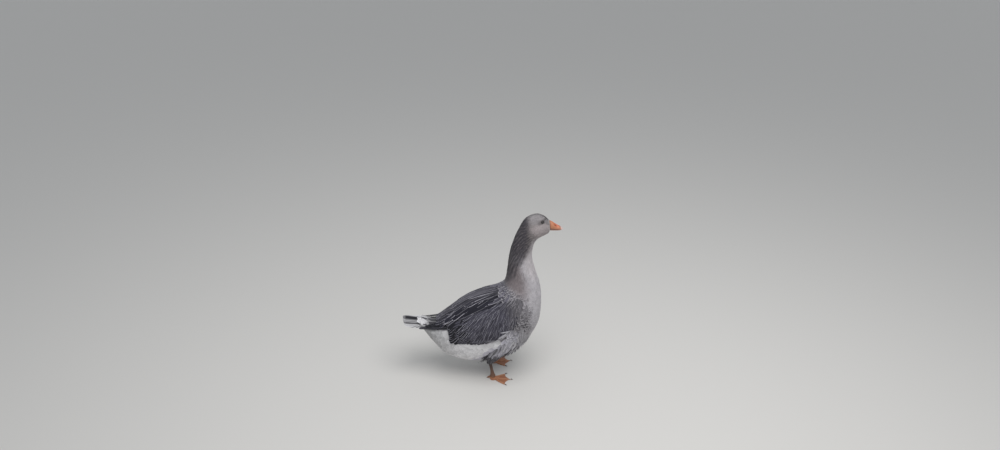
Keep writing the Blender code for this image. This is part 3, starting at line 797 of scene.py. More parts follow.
def body_coat(name, zones, material, seed):
    """A coat piece over stretches of the body, each (from, to, columns, outline, rings, across)."""
    rng = np.random.default_rng(seed)
    whole = zones[0][0], zones[-1][1]
    batches = []
    for low, high, columns, outline, rings, across in zones:
        place, room_across, room_along = roots_in_rows(on_body, (low, high), columns, row_on_body, rng)
        point = on_body(place)[0]
        seen = ~under_wing(point, WING_COVER) & ~under_scapulars(place)
        place, point, room_across, room_along = (x[seen] for x in (place, point, room_across, room_along))
        s, a = place[:, 0], place[:, 1]
        up = np.sin(a)
        depth = np.interp(s, DEPTH_STOPS, ROOT_DEPTHS)
        hang = ease(2.6, 3.4, s) * fade(5.4, 6.4, s) * fade(-0.5, 0.3, up)
        slim = np.interp(s, (6.0, 9.0, 10.5, 13.0, 17.0), (0.0, 0.25, 0.85, 0.85, 1.0))
        length = room_along * (2.5 + 0.9 * hang + 1.3 * slim) * rng.uniform(0.85, 1.15, len(s))
        width = np.maximum(room_across * 1.75, room_along * 0.75) * (1 - 0.42 * slim - 0.35 * hang)
        width = width * rng.uniform(0.9, 1.1, len(s))
        smooth = fade(4.4, 5.2, s) * fade(-0.1, 0.4, up)
        tip_lift = rng.uniform(-0.25, 0.15, len(s)) * (1 - smooth) - 0.30 * smooth
        points, vane = lay_vanes(
            on_body, place, lie_of_body, length, width, -depth, tip_lift * depth,
            outline, rings, across, yaw=rng.normal(0, 0.09 + 0.10 * hang, len(s)), roll=0.10 * depth,
            arch=0.045, curl=rng.uniform(0, 0.20, len(s)) * depth,
        )
        keep = clear_of_eye(points)
        keep &= points[..., 0].reshape(len(points), -1).max(axis=1) < MIDWAY + BILL_FEATHERS_END
        colour = varied(rng, markings(s, a), 0.10)
        # scalloped with pale rims on the shoulder, on the mantle and, more softly, on the breast
        x = point[:, 0] - MIDWAY
        shoulder = fade(-0.024, 0.022, x - np.interp(point[:, 2], *SHOULDER_LINE)) * ease(0.0, 0.050, x)
        shoulder *= fade(8.0, 8.8, s) * ease(3.6, 4.4, s)
        mantle = ease(0.35, 0.6, up) * fade(7.8, 8.6, s) * ease(3.0, 4.0, s)
        breast = (0.30 + 0.30 * ease(-0.2, 0.3, up)) * fade(7.2, 8.8, s) * ease(4.6, 5.8, s)
        scallop = np.maximum(np.maximum(shoulder, mantle), breast)
        rim = blend(np.clip(colour * 1.30, 0, 1), BREAST_PALE, 0.8 * scallop)
        colour = colour * (1 - 0.38 * scallop)[:, None]
        share = 0.25 + 0.70 * scallop
        batch = points, vane, home_of(place, whole), colour, rim, share
        batches.append(tuple(x[keep] for x in batch))
    coat(name, batches, material)


body_coat("coat_rump", ((0.05, 2.4, 46, rounded, 7, 5),), body_plumage, 11)
body_coat("coat_trunk", ((2.4, 4.2, 60, rounded, 7, 5), (4.2, 6.2, 62, rounded, 7, 5)), body_plumage, 12)
body_coat("coat_breast", ((6.2, 7.6, 60, rounded, 6, 5), (7.6, 9.0, 54, rounded, 6, 5)), body_plumage, 13)
body_coat("coat_neck", ((9.0, 10.6, 74, pointed, 5, 3), (10.6, 13.2, 70, pointed, 5, 3)), soft_plumage, 14)
body_coat("coat_head", ((13.2, 15.0, 88, pointed, 5, 3), (15.0, 16.98, 92, pointed, 5, 3)), soft_plumage, 15)


# ---------------------------------------------------------------------------------------------
# The folded wings. Each lies on the flank: small coverts at its bend, rows of larger ones behind,
# the secondaries' points along the lower edge, and long scapulars swept back over the top.

SIDES = (("left", 1), ("right", -1))
WING_THICK, WING_EDGE, WING_CLEARANCE = 0.012, 0.0016, 0.0024
FEATHER_ROOM = 0.0034  # left over the wing's own surface for its feathers
COVERT = tone(64, 62, 72)
COVERT_RIM = tone(156, 154, 162)
SCAPULAR = tone(34, 33, 43)
SCAPULAR_RIM = tone(186, 183, 190)
RIDGE_GREY = tone(98, 95, 102)
SECONDARY = tone(28, 27, 33)
SECONDARY_RIM = tone(146, 144, 153)
PRIMARY = tone(21, 20, 26)
PRIMARY_TIP = tone(64, 62, 68)


def nearest(wanted, points, blocks=24):
    """Which point p is nearest to each wanted w: the least |p|^2 - 2 p.w, in blocks of wanted ones."""
    points = points.astype(np.float32)
    size = (points**2).sum(1)
    split = np.array_split(wanted.astype(np.float32), blocks)
    return np.concatenate([np.argmin(size - 2 * block @ points.T, axis=1) for block in split])


def on_side(x, z):
    """The body's (s, a) under a point (x, z) of its left side: the nearest of a grid, then Newton's steps."""
    s, a = np.meshgrid(np.linspace(0.6, 9.0, 90), np.linspace(-0.485, 0.485, 60) * math.pi, indexing="ij")
    coarse = np.stack([s.ravel(), a.ravel()], -1)
    place = coarse[nearest(np.stack([x.ravel(), z.ravel()], -1), on_body(coarse)[0][:, (0, 2)])]
    for _ in range(6):
        point, _, along, around = on_body(place)
        gap = np.stack([x.ravel() - point[:, 0], z.ravel() - point[:, 2]], -1)
        area = along[:, 0] * around[:, 2] - along[:, 2] * around[:, 0]
        area = np.where(np.abs(area) < 1e-4, 1e-4, area)
        step_s = (gap[:, 0] * around[:, 2] - gap[:, 1] * around[:, 0]) / area
        step_a = (gap[:, 1] * along[:, 0] - gap[:, 0] * along[:, 2]) / area
        place = place + np.clip(np.stack([step_s, step_a], -1), -0.15, 0.15)
        place[:, 1] = np.clip(place[:, 1], -0.49 * math.pi, 0.49 * math.pi)
    return place.reshape(x.shape + (2,))


def wing_form(lift):
    """Grid of the left wing's surface, u front to back and v top to bottom, lift(swell) proud of the body."""
    u, v = np.linspace(0, 1, 97), np.linspace(0, 1, 49)
    top = smooth_course(WING_TOP, u * (len(WING_TOP) - 1))
    low = smooth_course(WING_LOW, u * (len(WING_LOW) - 1))
    flat = top[:, None] + (low - top)[:, None] * v[None, :, None]
    point, normal, _, _ = on_body(on_side(flat[..., 0] + MIDWAY, flat[..., 1]))
    swell = np.sqrt(np.outer(np.sin(math.pi * u), np.sin(math.pi * v)).clip(0, 1))
    return u, v, point + normal * lift(swell)[..., None]


def outer_lift(swell):
    """The wing's outer face over the body: thin at its edges, thickest in its middle."""
    return WING_CLEARANCE + WING_EDGE + (WING_THICK - WING_EDGE) * swell


def run_on(points, u, v, past_u=0.16, past_v=0.06):
    """The grid carried on straight past its rear and lower ends."""
    more_u = int(round(past_u / (u[1] - u[0])))
    more_v = int(round(past_v / (v[1] - v[0])))
    for _ in range(more_u):
        points = np.concatenate([points, 2 * points[-1:] - points[-2:-1]], axis=0)
    for _ in range(more_v):
        points = np.concatenate([points, 2 * points[:, -1:] - points[:, -2:-1]], axis=1)
    u = np.append(u, u[-1] + (u[1] - u[0]) * np.arange(1, more_u + 1))
    v = np.append(v, v[-1] + (v[1] - v[0]) * np.arange(1, more_v + 1))
    return points, u, v


def faced(at, sense):
    """A ground with its normal times sense, 1 or -1, so that it points outwards."""
    def outwards(place):
        """The same sample with its normal turned."""
        point, normal, along, around = at(place)
        return point, normal * sense, along, around

    return outwards


def mirrored_ground(points, u, v, sign):
    """The ground of a grid made for the left side, or of its mirror image for the right one."""
    return faced(ground(points * np.array((1, sign, 1)), u, v, False), sign)


def lie_of_wing(place, point, normal, along):
    """Down and back: steep at the bend of the wing, flatter behind and along its upper edge."""
    x = point[..., 0] - MIDWAY
    dip = np.interp(x, (-0.23, -0.16, -0.10, -0.04, 0.02, 0.08), (44.0, 52.0, 63.0, 74.0, 82.0, 86.0))
    dip = np.radians(dip - 20.0 * fade(0.0, 0.30, place[..., 1]))
    return np.stack([-np.cos(dip), np.zeros_like(dip), -np.sin(dip)], -1)


def roots_from_tips(at, tip, lie, length):
    """Where feathers of a length start, so that they end at given tips: the lie followed backwards."""
    place = tip
    steps = 10
    for _ in range(steps):
        _, _, way = heading(at, place, lie)
        place = moved(at, place, -way * (np.broadcast_to(length, (len(tip),)) / steps)[:, None])
    return place


def like(colour, place):
    """The same colour for every place."""
    return np.broadcast_to(colour, (len(place), 3))


def wing_coverts(at, rng, sign):
    """The field of lesser and median coverts: scaly at the bend, long, narrow and soft behind it."""
    fields = (((-0.02, 0.17), 17, 0.0085, rounded), ((0.12, 0.84), 8, 0.0078, pointed))
    batches = []
    for span, columns, row, outline in fields:
        place, _, _ = roots_in_rows(at, span, columns, row, rng, 0.40, 0.0, 0.82)
        u, v = place[:, 0], place[:, 1]
        x = at(place)[0][:, 0] - MIDWAY
        front = ease(0.015, 0.070, x)
        length = (0.050 - 0.026 * front) * rng.uniform(0.8, 1.2, len(u))
        width = (0.0115 + 0.0010 * front) * rng.uniform(0.85, 1.1, len(u))
        points, vane = lay_vanes(
            at, place, lie_of_wing, length, width, 0.0, rng.uniform(0.0014, 0.0026, len(u)), outline, 8, 5,
            yaw=rng.normal(0, 0.06, len(u)), roll=-0.0008 * sign,
        )
        colour = blend(COVERT, SHOULDER_BROWN * 0.52, front * 0.8)
        colour = blend(colour, SECONDARY, 0.45 * fade(-0.20, -0.08, x) * ease(0.2, 0.7, v))
        rim = blend(COVERT_RIM, BREAST_PALE, front)
        share = (0.25 + 0.75 * rng.uniform(0, 1, len(u)) ** 1.6) * (1 - 0.3 * front)
        batches.append((points, vane, place.clip(0, 1), varied(rng, colour, 0.25), rim, share))
    return batches


def row_of_tips(count, start, end, rng):
    """Evenly spaced tips from start to end (u, v), each a little off its place."""
    t = (np.arange(count) + 0.5) / count
    place = np.array(start) + np.outer(t, np.array(end) - np.array(start))
    return place + rng.normal(0, 0.004, place.shape)


def wing_row(at, tips, length, width, low, high, colour, share, rng, sign):
    """A row of large feathers that end at given tips, each lower edge over the next feather."""
    count = len(tips)
    length = length * rng.uniform(0.96, 1.04, count)
    root = roots_from_tips(at, tips, lie_of_wing, length)
    points, vane = lay_vanes(
        at, root, lie_of_wing, length, width, low, high, strap, 10, 7,
        roll=-0.0010 * sign, yaw=rng.normal(0, 0.02, count), arch=0.05, thick=0.0004,
    )
    colour = varied(rng, like(colour, root), 0.12)
    return points, vane, root.clip(0, 1), colour, SECONDARY_RIM, share * rng.uniform(0.6, 1.1, count)


def build_wing(side, sign):
    """One wing's two coats: its rows of large feathers, and the field of coverts over their roots."""
    rng = np.random.default_rng(40 + sign)
    u, v, points = wing_form(lambda swell: np.maximum(outer_lift(swell) - FEATHER_ROOM, WING_CLEARANCE * 0.5))
    at = mirrored_ground(*run_on(points, u, v), sign)
    rows = (  # tips from and to, how many, length, width, root and tip height, colour, rim share
        ((1.00, 0.30), (1.015, 1.03), 9, 0.130, 0.0215, 0.0000, 0.0012, SECONDARY, 1.00),
        ((0.99, 1.03), (0.24, 1.00), 17, 0.095, 0.0210, -0.0004, 0.0008, SECONDARY * 0.8, 0.35),
        ((0.92, 0.45), (0.88, 0.92), 7, 0.095, 0.0170, 0.0004, 0.0018, SECONDARY, 1.00),
        ((0.86, 0.92), (0.20, 0.88), 17, 0.072, 0.0150, 0.0003, 0.0017, COVERT * 0.75, 0.75),
    )
    flights = [
        wing_row(at, row_of_tips(count, start, end, rng), length, width, low, high, colour, share, rng, sign)
        for start, end, count, length, width, low, high, colour, share in rows
    ]
    coat(f"wing_{side}_flights", flights, flight_plumage)
    coat(f"wing_{side}_coverts", wing_coverts(at, rng, sign), covert_plumage)


for wing_side, wing_sign in SIDES:
    build_wing(wing_side, wing_sign)


# ---------------------------------------------------------------------------------------------
# The scapulars: long slate feathers with thin pale edges, swept back from both shoulders over the
# wings' upper edges until they meet along the back.

SCAPULAR_SPAN = (1.9, 7.0)
SCAPULARS_END = (0.80, math.pi / 2)  # no tip reaches behind this place on the ridge


def lie_of_scapulars(place, point, normal, along):
    """Back along the body, drifting outwards and down from the ridge."""
    outward = np.stack([np.zeros(len(place)), np.sign(np.cos(place[:, 1])), np.full(len(place), -0.6)], -1)
    share = ease(4.0, 30.0, from_ridge(place)) * 0.24
    return unit(-along) + outward * share[:, None]


def build_scapulars():
    """Both sides' scapulars in one coat, shorter and paler to the front, lifted where they cross a wing."""
    rng = np.random.default_rng(51)
    low_a, high_a = math.radians(24.0), math.radians(156.0)
    place, _, _ = roots_in_rows(on_body, SCAPULAR_SPAN, 25, 0.034, rng, 0.45, low_a, high_a)
    line = np.interp(place[:, 0], WING_LINE_S, WING_LINE_TURN)
    turn = from_ridge(place)
    keep = turn < line + 3.0
    place, line, turn = place[keep], line[keep], turn[keep]
    s = place[:, 0]
    near_wing = ease(-22.0, 0.0, turn - line)
    fore = ease(5.6, 7.3, s)
    count = len(place)
    length = (0.112 - 0.070 * fore) * rng.uniform(0.85, 1.15, count)
    end = on_body(np.array([SCAPULARS_END]))[0]
    length = np.minimum(length, np.abs(on_body(place)[0][:, 0] - end[0, 0]))
    width = (0.0180 - 0.0040 * fore) * rng.uniform(0.9, 1.1, count)
    low = -0.0025 + 0.0035 * near_wing + 0.0040 * hump(0.0, 22.0, turn) * hump(3.6, 1.6, s)
    side = np.sign(np.cos(place[:, 1]))
    points, vane = lay_vanes(
        on_body, place, lie_of_scapulars, length, width, low, low + rng.uniform(0.0030, 0.0042, count),
        strap, 10, 5, yaw=rng.normal(0, 0.05, count), roll=-0.0012 * side, arch=0.06,
    )
    colour = blend(SCAPULAR, MANTLE, fore * 0.9)
    colour = blend(colour, RIDGE_GREY, hump(0.0, 13.0, turn) * 0.7)
    share = 0.15 + 0.85 * rng.uniform(0, 1, count) ** 1.2
    home = home_of(place, SCAPULAR_SPAN)
    batch = points, vane, home, varied(rng, colour, 0.22), SCAPULAR_RIM, share
    coat("coat_scapulars", [batch], flight_plumage)


build_scapulars()


# ---------------------------------------------------------------------------------------------
# The breast's side feathers and the flank plumes. The first run back over the front edge of each
# folded wing; the plumes are long, loose and lilac-grey, and hang back over the top of each leg.

BEND_SPAN = (4.6, 8.4)
FLANK_SPAN = (4.15, 6.5)


def build_bend(side, sign):
    """The feathers rooted just ahead of the wing's front edge and long enough to lie over it."""
    rng = np.random.default_rng(53 + sign)
    place, _, _ = roots_in_rows(on_body, BEND_SPAN, 66, 0.0085, rng, 0.35)
    point = on_body(place)[0]
    inward = np.array((-0.060, 0.0, 0.31)) + np.array((MIDWAY, 0, 0)) - point
    inward[:, 1] = 0.0
    moved_in = point + unit(inward) * 0.026
    keep = ~under_wing(point, 0.004) & under_wing(moved_in, 0.0) & (point[:, 1] * sign > 0.02)
    x, z = point[:, 0] - MIDWAY, point[:, 2]
    keep &= (x > 0.030) & (x > np.interp(z, (0.30, 0.34, 0.40, 0.43), (0.0, 0.046, 0.058, 0.2)))
    place, point = place[keep], point[keep]
    count = len(place)
    top = ease(0.355, 0.400, point[:, 2])
    points, vane = lay_vanes(
        on_body, place, lie_of_body, rng.uniform(0.030, 0.042, count) * (1 - 0.35 * top),
        0.0150 - 0.0035 * top, -0.0015, rng.uniform(0.0085, 0.0125, count) * (1 - 0.5 * top),
        rounded, 8, 5, yaw=rng.normal(0, 0.14, count), roll=0.0004,
    )
    lower = fade(0.265, 0.320, point[:, 2])
    colour = blend(markings(place[:, 0], place[:, 1]) * 0.82, FLANK * 0.82, lower)
    colour = varied(rng, colour, 0.15)
    rim = blend(BREAST_PALE, WHITE, lower)
    share = rng.uniform(0.2, 0.75, count)
    coat(f"coat_bend_{side}", [(points, vane, home_of(place, BEND_SPAN), colour, rim, share)], body_plumage)


def lie_of_flank(place, point, normal, along):
    """Down, and a little back with the body."""
    return unit(-along) + np.array((0.25, 0.0, -1.30))


def lie_over_wing(place, point, normal, along):
    """Back and down, whatever the wing's own slope."""
    return np.broadcast_to(np.array((-0.75, 0.0, -0.66)), point.shape)


def plumes_over_wing(rng, sign):
    """Loose plumes that rise over the folded wing's lower front edge and hang from it."""
    u, v, points = wing_form(outer_lift)
    at = mirrored_ground(*run_on(points, u, v), sign)
    count = 90
    along = rng.uniform(0.31, 0.50, count)
    root = np.stack([along, rng.uniform(0.95, 1.05, count) + 0.04 * ease(0.36, 0.50, along)], -1)
    points, vane = lay_vanes(
        at, root, lie_over_wing, rng.uniform(0.030, 0.052, count), rng.uniform(0.005, 0.009, count), -0.0012,
        rng.uniform(0.0010, 0.0032, count), pointed, 8, 3, yaw=rng.normal(0, 0.20, count), roll=0.0003,
    )
    colour = blend(FLANK * 0.85, WHITE, rng.uniform(0, 0.5, count))
    colour = blend(colour, FLANK_DARK, ease(0.55, 1.0, rng.uniform(0, 1, count)) * 0.75)
    return points, vane, root.clip(0, 1), varied(rng, colour, 0.1), WHITE, rng.uniform(0.1, 0.4, count)


def build_flank_plumes(side, sign):
    """The plumes of one flank: they curl off at the lower edge, where painted shade from the body above makes
    them darkest.
    """
    rng = np.random.default_rng(55 + sign)
    low_a, high_a = np.radians((284.0, 352.0) if sign > 0 else (188.0, 256.0))
    place, _, _ = roots_in_rows(on_body, FLANK_SPAN, 24, 0.0115, rng, 0.45, low_a, high_a)
    point = on_body(place)[0]
    ahead = point[:, 0] - MIDWAY - np.interp(point[:, 2], *BELLY_LINE)
    keep = ~under_wing(point, 0.030) & (ahead > 0.012)
    place, height, down = place[keep], point[keep, 2], -np.sin(place[keep, 1])
    count = len(place)
    fore = ease(5.6, 6.5, place[:, 0])
    below = ease(0.55, 0.95, down) * (1 - fore)
    length = rng.uniform(0.042, 0.066, count) * (1 - 0.45 * fore)
    points, vane = lay_vanes(
        on_body, place, lie_of_flank, length, rng.uniform(0.0055, 0.0095, count), -0.0020,
        rng.uniform(0.0010, 0.0050, count), pointed, 9, 3, yaw=rng.normal(0, 0.14, count),
        curl=rng.uniform(-0.001, 0.0040, count) + below * rng.uniform(0.002, 0.014, count), roll=0.0003,
    )
    # painted shade: plumes low on the flank and facing down are darkened, with fewer white ones and less pale
    # rim, for the shade under the body
    hem_shade = np.maximum(fade(0.160, 0.220, height), ease(0.62, 0.86, down) * (1 - fore))
    colour = blend(FLANK, FLANK_DARK * 0.5, rng.uniform(0, 1, count) ** (3.0 + 2.0 * fore - 2.85 * hem_shade))
    colour = blend(colour, WHITE, ease(0.55, 1.0, rng.uniform(0, 1, count)) * 0.75 * (1 - hem_shade))
    colour = blend(colour, BREAST_SIDE * 0.9, fore)
    share = rng.uniform(0.1, 0.5, count) * (1 - 0.7 * hem_shade)
    hanging = points, vane, home_of(place, FLANK_SPAN), colour, WHITE, share
    coat(f"coat_flank_{side}", [hanging, plumes_over_wing(rng, sign)], covert_plumage)


for wing_side, wing_sign in SIDES:
    build_bend(wing_side, wing_sign)
    build_flank_plumes(wing_side, wing_sign)


# ---------------------------------------------------------------------------------------------
# The primaries' stack. The long outer flight feathers of the closed wing come out from under the
# tertials as a narrow dark pile over the side of the rump.

# Its upper and lower edge from front to back: x, z, and how far out from the middle of the body.
STACK_TOP = np.array((
    (-0.180, 0.306, 0.0560), (-0.2305, 0.2850, 0.0400), (-0.284, 0.2630, 0.0250), (-0.318, 0.2610, 0.0240),
    (-0.342, 0.2650, 0.0260),
))
STACK_LOW = np.array((
    (-0.180, 0.263, 0.0800), (-0.2255, 0.2590, 0.0760), (-0.275, 0.2515, 0.0640), (-0.317, 0.2485, 0.0580),
    (-0.354, 0.2475, 0.0540),
))
PRIMARIES = 10


def lie_back(place, point, normal, along):
    """Straight on along the surface's own lines."""
    return unit(along)


def build_primaries(side, sign):
    """One side's stack: feathers that fan from one pile, laid on a deck between its upper and lower edge."""
    rng = np.random.default_rng(60 + sign)
    u, v = np.linspace(0, 1, 41), np.linspace(0, 1, 15)
    places = u * (len(STACK_TOP) - 1)
    edges = smooth_course(STACK_TOP, places), smooth_course(STACK_LOW, places)
    (top, top_span), (low, low_span) = ((edge[:, :2], edge[:, 2]) for edge in edges)
    flat = top[:, None] + (low - top)[:, None] * v[None, :, None]
    quarter = np.sin(v * math.pi / 2)
    behind = ease(0.25, 0.50, u)[:, None]
    swell = quarter**0.8 * (1 - behind) + (0.5 * v + 0.5 * quarter) * behind
    out = top_span[:, None] + (low_span - top_span)[:, None] * swell
    points = np.stack([flat[..., 0] + MIDWAY, out, flat[..., 1]], -1)
    at = mirrored_ground(points, u, v, sign)
    order = np.arange(PRIMARIES)
    tips = np.stack([1.02 - 0.052 * order, 0.82 - 0.055 * order], -1)
    tips[:, 1] += 0.10 * (-1.0) ** order
    length = 0.125 - 0.005 * order
    root = roots_from_tips(at, tips, lie_back, length)
    lift = 0.0003 * order
    points, vane = lay_vanes(
        at, root, lie_back, length, 0.017, 0.0004 + lift, 0.0008 + lift, strap, 14, 7,
        roll=-0.0005 * sign, arch=0.05, yaw=rng.normal(0, 0.02, PRIMARIES),
    )
    colour = varied(rng, blend(PRIMARY, PRIMARY_TIP, fade(0.0, 2.5, order)), 0.1)
    batch = points, vane, root.clip(0, 1), colour, SECONDARY_RIM, rng.uniform(0.08, 0.26, PRIMARIES)
    obj = coat(f"primaries_{side}_feathers", [batch], flight_plumage)
    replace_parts(obj, "primaries_" + side)


for wing_side, wing_sign in SIDES:
    build_primaries(wing_side, wing_sign)


# ---------------------------------------------------------------------------------------------
# The tail: twelve stiff feathers, closed to a narrow fan, the middle pair on top. They are dark
# with white rims and ends, and white coverts hide their roots above and below.

TAIL_FRONT, TAIL_TIP, TAIL_HALF = -0.318, -0.4260, 0.055
TAIL_STATIONS = (TAIL_TIP, -0.385, -0.345, TAIL_FRONT)
TAIL_ABOVE = (0.2765, 0.2735, 0.2705, 0.2690), (0.30, 0.30, 0.30, 0.30)  # heights, fall of the sides
TAIL_BELOW = (0.2750, 0.2610, 0.2480, 0.2200), (0.30, 0.14, -0.10, -0.40)
TAIL_GREY = tone(40, 38, 43)
TAIL_WHITE = tone(192, 190, 191)
TAIL_DARK_FEATHERS = np.array((1.0, 0.45, 0.6, 1.0, 0.1, 0.0))  # from the middle out
TAIL_FEATHERS = 2 * len(TAIL_DARK_FEATHERS)


def tail_deck(outward, heights, falls):
    """One face of the closed fan: its height along the middle, less a share of the way out."""
    u, v = np.linspace(0, 1, 31), np.linspace(-1, 1, 31)
    x = TAIL_FRONT + (TAIL_TIP - TAIL_FRONT) * u
    out = np.abs(v) * TAIL_HALF
    height, fall = (np.interp(x, TAIL_STATIONS, values)[:, None] for values in (heights, falls))
    z = height - fall * out[None]
    points = np.stack(np.broadcast_arrays(x[:, None] + MIDWAY, v[None] * TAIL_HALF, z), -1)
    at = ground(points, u, v, False)
    return faced(at, outward * np.sign(at(np.array([[0.5, 0.0]]))[1][0, 2]))


def root_home(root):
    """Roots on the tail's deck, scaled to 0..1."""
    return np.stack([root[:, 1] / 2 + 0.5, root[:, 0]], -1).clip(0, 1)


def build_tail():
    """The tail in one coat: the fan on its upper deck, then rows of coverts over both decks' roots."""
    rng = np.random.default_rng(71)
    above, below = tail_deck(1.0, *TAIL_ABOVE), tail_deck(-1.0, *TAIL_BELOW)
    dark = np.concatenate([TAIL_DARK_FEATHERS[::-1], TAIL_DARK_FEATHERS])
    aside = (np.arange(TAIL_FEATHERS) - (TAIL_FEATHERS - 1) / 2) / (TAIL_FEATHERS / 2)
    rank = np.abs(aside)
    root = np.stack([np.full(TAIL_FEATHERS, 0.08), aside * 0.58], -1)
    length = 0.0990 - 0.014 * rank**2
    level = 0.0035 - 0.0080 * rank
    points, vane = lay_vanes(
        above, root, lie_back, length, 0.0225, level - 0.006, level + 0.0005, strap, 12, 7,
        yaw=-np.radians(8.0) * aside, roll=-0.0008 * np.sign(aside) * np.sign(above(root)[1][:, 2]),
        arch=0.04, thick=0.0005,
    )
    colour = varied(rng, blend(TAIL_WHITE, TAIL_GREY, dark), 0.1)
    batches = [(points, vane, root_home(root), colour, TAIL_WHITE, 0.60 - 0.28 * dark)]
    coverts = (  # deck, rows, feathers in a row, first row's place, step, lift, span, dark in the middle
        (above, 4, 9, -0.05, 0.055, 0.0034, 0.46, 1.0),
        (below, 7, 13, 0.0, 0.075, 0.0040, 0.72, 0.0),
    )
    for at, rows, count, start, step, lift, span, dusk in coverts:
        for number in range(rows):
            across = (np.arange(count) + 0.5 * (number % 2)) / (count - 1) * 2 - 1
            root = np.stack([start + step * number + rng.uniform(-0.02, 0.02, count), across * span], -1)
            height = lift - 0.0004 * number
            length = rng.uniform(0.028, 0.036, count)
            points, vane = lay_vanes(
                at, root, lie_back, length, 0.0130, height - 0.0060, height + 0.0018,
                rounded, 7, 5, yaw=-np.sign(at(root)[1][:, 2]) * across * 0.12 + rng.normal(0, 0.05, count),
                roll=0.0003,
            )
            middle = fade(0.06, 0.20, np.abs(across - 0.05)) * dusk
            colour = varied(rng, blend(WHITE, RUMP_TOP, middle), 0.06)
            batches.append((points, vane, root_home(root), colour, WHITE, 0.3))
    obj = coat("tail_feathers", batches, tail_plumage)
    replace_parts(obj, "tail")


build_tail()


# ---------------------------------------------------------------------------------------------
# The thighs. Short feathered upper legs that show a little under the flank; fine dark grey plumage
# covers each down to the ankle, where the bare shank starts.

LEG_SPREAD = 0.064
ANKLE = np.array((-0.048, 0.0840))
THIGH_TOP = np.array((-0.005, 0.1700))
THIGH_RADII = (0.0155, 0.0420)


def thigh_points(sign, inset):
    """Level rings from the ankle up to the flank, inset under the plumage: grid (rings, sides, xyz)."""
    t, turn = np.linspace(0, 1, 25), np.linspace(0, FULL_TURN, 49)
    x = ANKLE[0] + (THIGH_TOP[0] - ANKLE[0]) * t + 0.006 * np.sin(math.pi * t) + MIDWAY
    z = ANKLE[1] + (THIGH_TOP[1] - ANKLE[1]) * t
    radius = THIGH_RADII[0] + (THIGH_RADII[1] - THIGH_RADII[0]) * np.sin(t * math.pi / 2) - inset
    ahead, aside = radius[:, None] * np.cos(turn), radius[:, None] * np.sin(turn)
    points = np.stack(np.broadcast_arrays(x[:, None] + ahead, sign * LEG_SPREAD + aside, z[:, None]), -1)
    return t, turn, points


def lie_down_leg(place, point, normal, along):
    """Against the thigh's rings, which run upwards."""
    return -along


def build_thigh_coat(side, sign):
    """One thigh's coat, shorter at the ankle, its own dark grey deepened there by painted shade under the
    belly, and paling into the flank above.
    """
    rng = np.random.default_rng(80 + sign)
    t, turn, points = thigh_points(sign, 0.002)
    at = ground(points, t, turn, True)
    at = faced(at, np.sign(at(np.array([[0.5, 0.0]]))[1][0, 0]))
    place, _, _ = roots_in_rows(at, (0.03, 0.98), 18, 0.0065, rng)
    count = len(place)
    length = np.minimum(0.021, 0.010 + 0.11 * place[:, 0]) * rng.uniform(0.9, 1.1, count)
    points, vane = lay_vanes(
        at, place, lie_down_leg, length, 0.0075, -0.0015, 0.0005, pointed, 6, 3,
        yaw=rng.normal(0, 0.15, count), roll=0.0002,
    )
    # the lower thigh's own dark grey, deepened as painted shade under the belly
    colour = varied(rng, blend(FLANK_DARK * 0.7, FLANK, ease(0.6, 1.0, place[:, 0])), 0.15)
    batch = points, vane, home_of(place, (0.0, 1.0)), colour, BREAST_PALE, 0.35
    coat(f"coat_thigh_{side}", [batch], body_plumage)


for leg_side, leg_sign in SIDES:
    build_thigh_coat(leg_side, leg_sign)


# ---------------------------------------------------------------------------------------------
# The skin: one closed surface of trunk, rump, neck, head, thighs and folded wings, a coat's depth
# under the feathers, with the plumage's own markings, darkened as painted shade, where it shows between them.

SKIN_DEPTHS = (0.0055, 0.0055, 0.0042, 0.0022, 0.0014)  # under the plumage, at the same stops as the roots
THIGH_SKIN_DEPTH = 0.0032
WING_SKIN_ROOT = 0.008  # the wings' skin starts this far inside the body, so that both fuse
SKIN_VOXEL = 0.0030
SKIN_SMOOTHING = 6


def lofted(points):
    """Points and faces of a grid of rings closed round, with both ends capped from a middle point."""
    rings, sides = points.shape[:2]
    ends = np.stack([points[0].mean(axis=0), points[-1].mean(axis=0)])
    k = np.arange(sides)
    after = (k + 1) % sides
    first, last = rings * sides, rings * sides + 1
    tris = np.concatenate([
        np.stack([after, k, np.full_like(k, first)], -1),
        np.stack([(rings - 1) * sides + k, (rings - 1) * sides + after, np.full_like(k, last)], -1),
    ])
    return np.concatenate([points.reshape(-1, 3), ends]), ring_quads(rings, sides), tris


def plated(inner, outer):
    """A closed plate between two like grids: each ring runs out on one and back on the other."""
    return lofted(np.stack([inner, outer[:, ::-1]], axis=1).reshape(len(inner), -1, 3))


def joined(shells):
    """Several closed shells as one set of points and faces."""
    points, quads, tris, start = [], [], [], 0
    for p, q, t in shells:
        points.append(p)
        quads.append(q + start)
        tris.append(t + start)
        start += len(p)
    return np.concatenate(points), np.concatenate(quads), np.concatenate(tris)


def coordinates(mesh):
    """The mesh's vertices as an array."""
    found = np.empty(len(mesh.vertices) * 3, np.float32)
    mesh.vertices.foreach_get("co", found)
    return found.reshape(-1, 3)


def fused(name, shells):
    """The shells as one closed skin: a voxel remesh, then a light smoothing."""
    raw = mesh_from(name + "_raw", *joined(shells))
    obj = in_scene(name + "_raw", raw)
    remesh = obj.modifiers.new("fuse", "REMESH")
    remesh.mode = "VOXEL"
    remesh.voxel_size = SKIN_VOXEL
    smooth = obj.modifiers.new("smooth", "SMOOTH")
    smooth.iterations = SKIN_SMOOTHING
    smooth.factor = 0.5
    graph = bpy.context.evaluated_depsgraph_get()
    mesh = bpy.data.meshes.new_from_object(obj.evaluated_get(graph), depsgraph=graph)
    mesh.name = name
    bpy.data.objects.remove(obj)
    bpy.data.meshes.remove(raw)
    return mesh


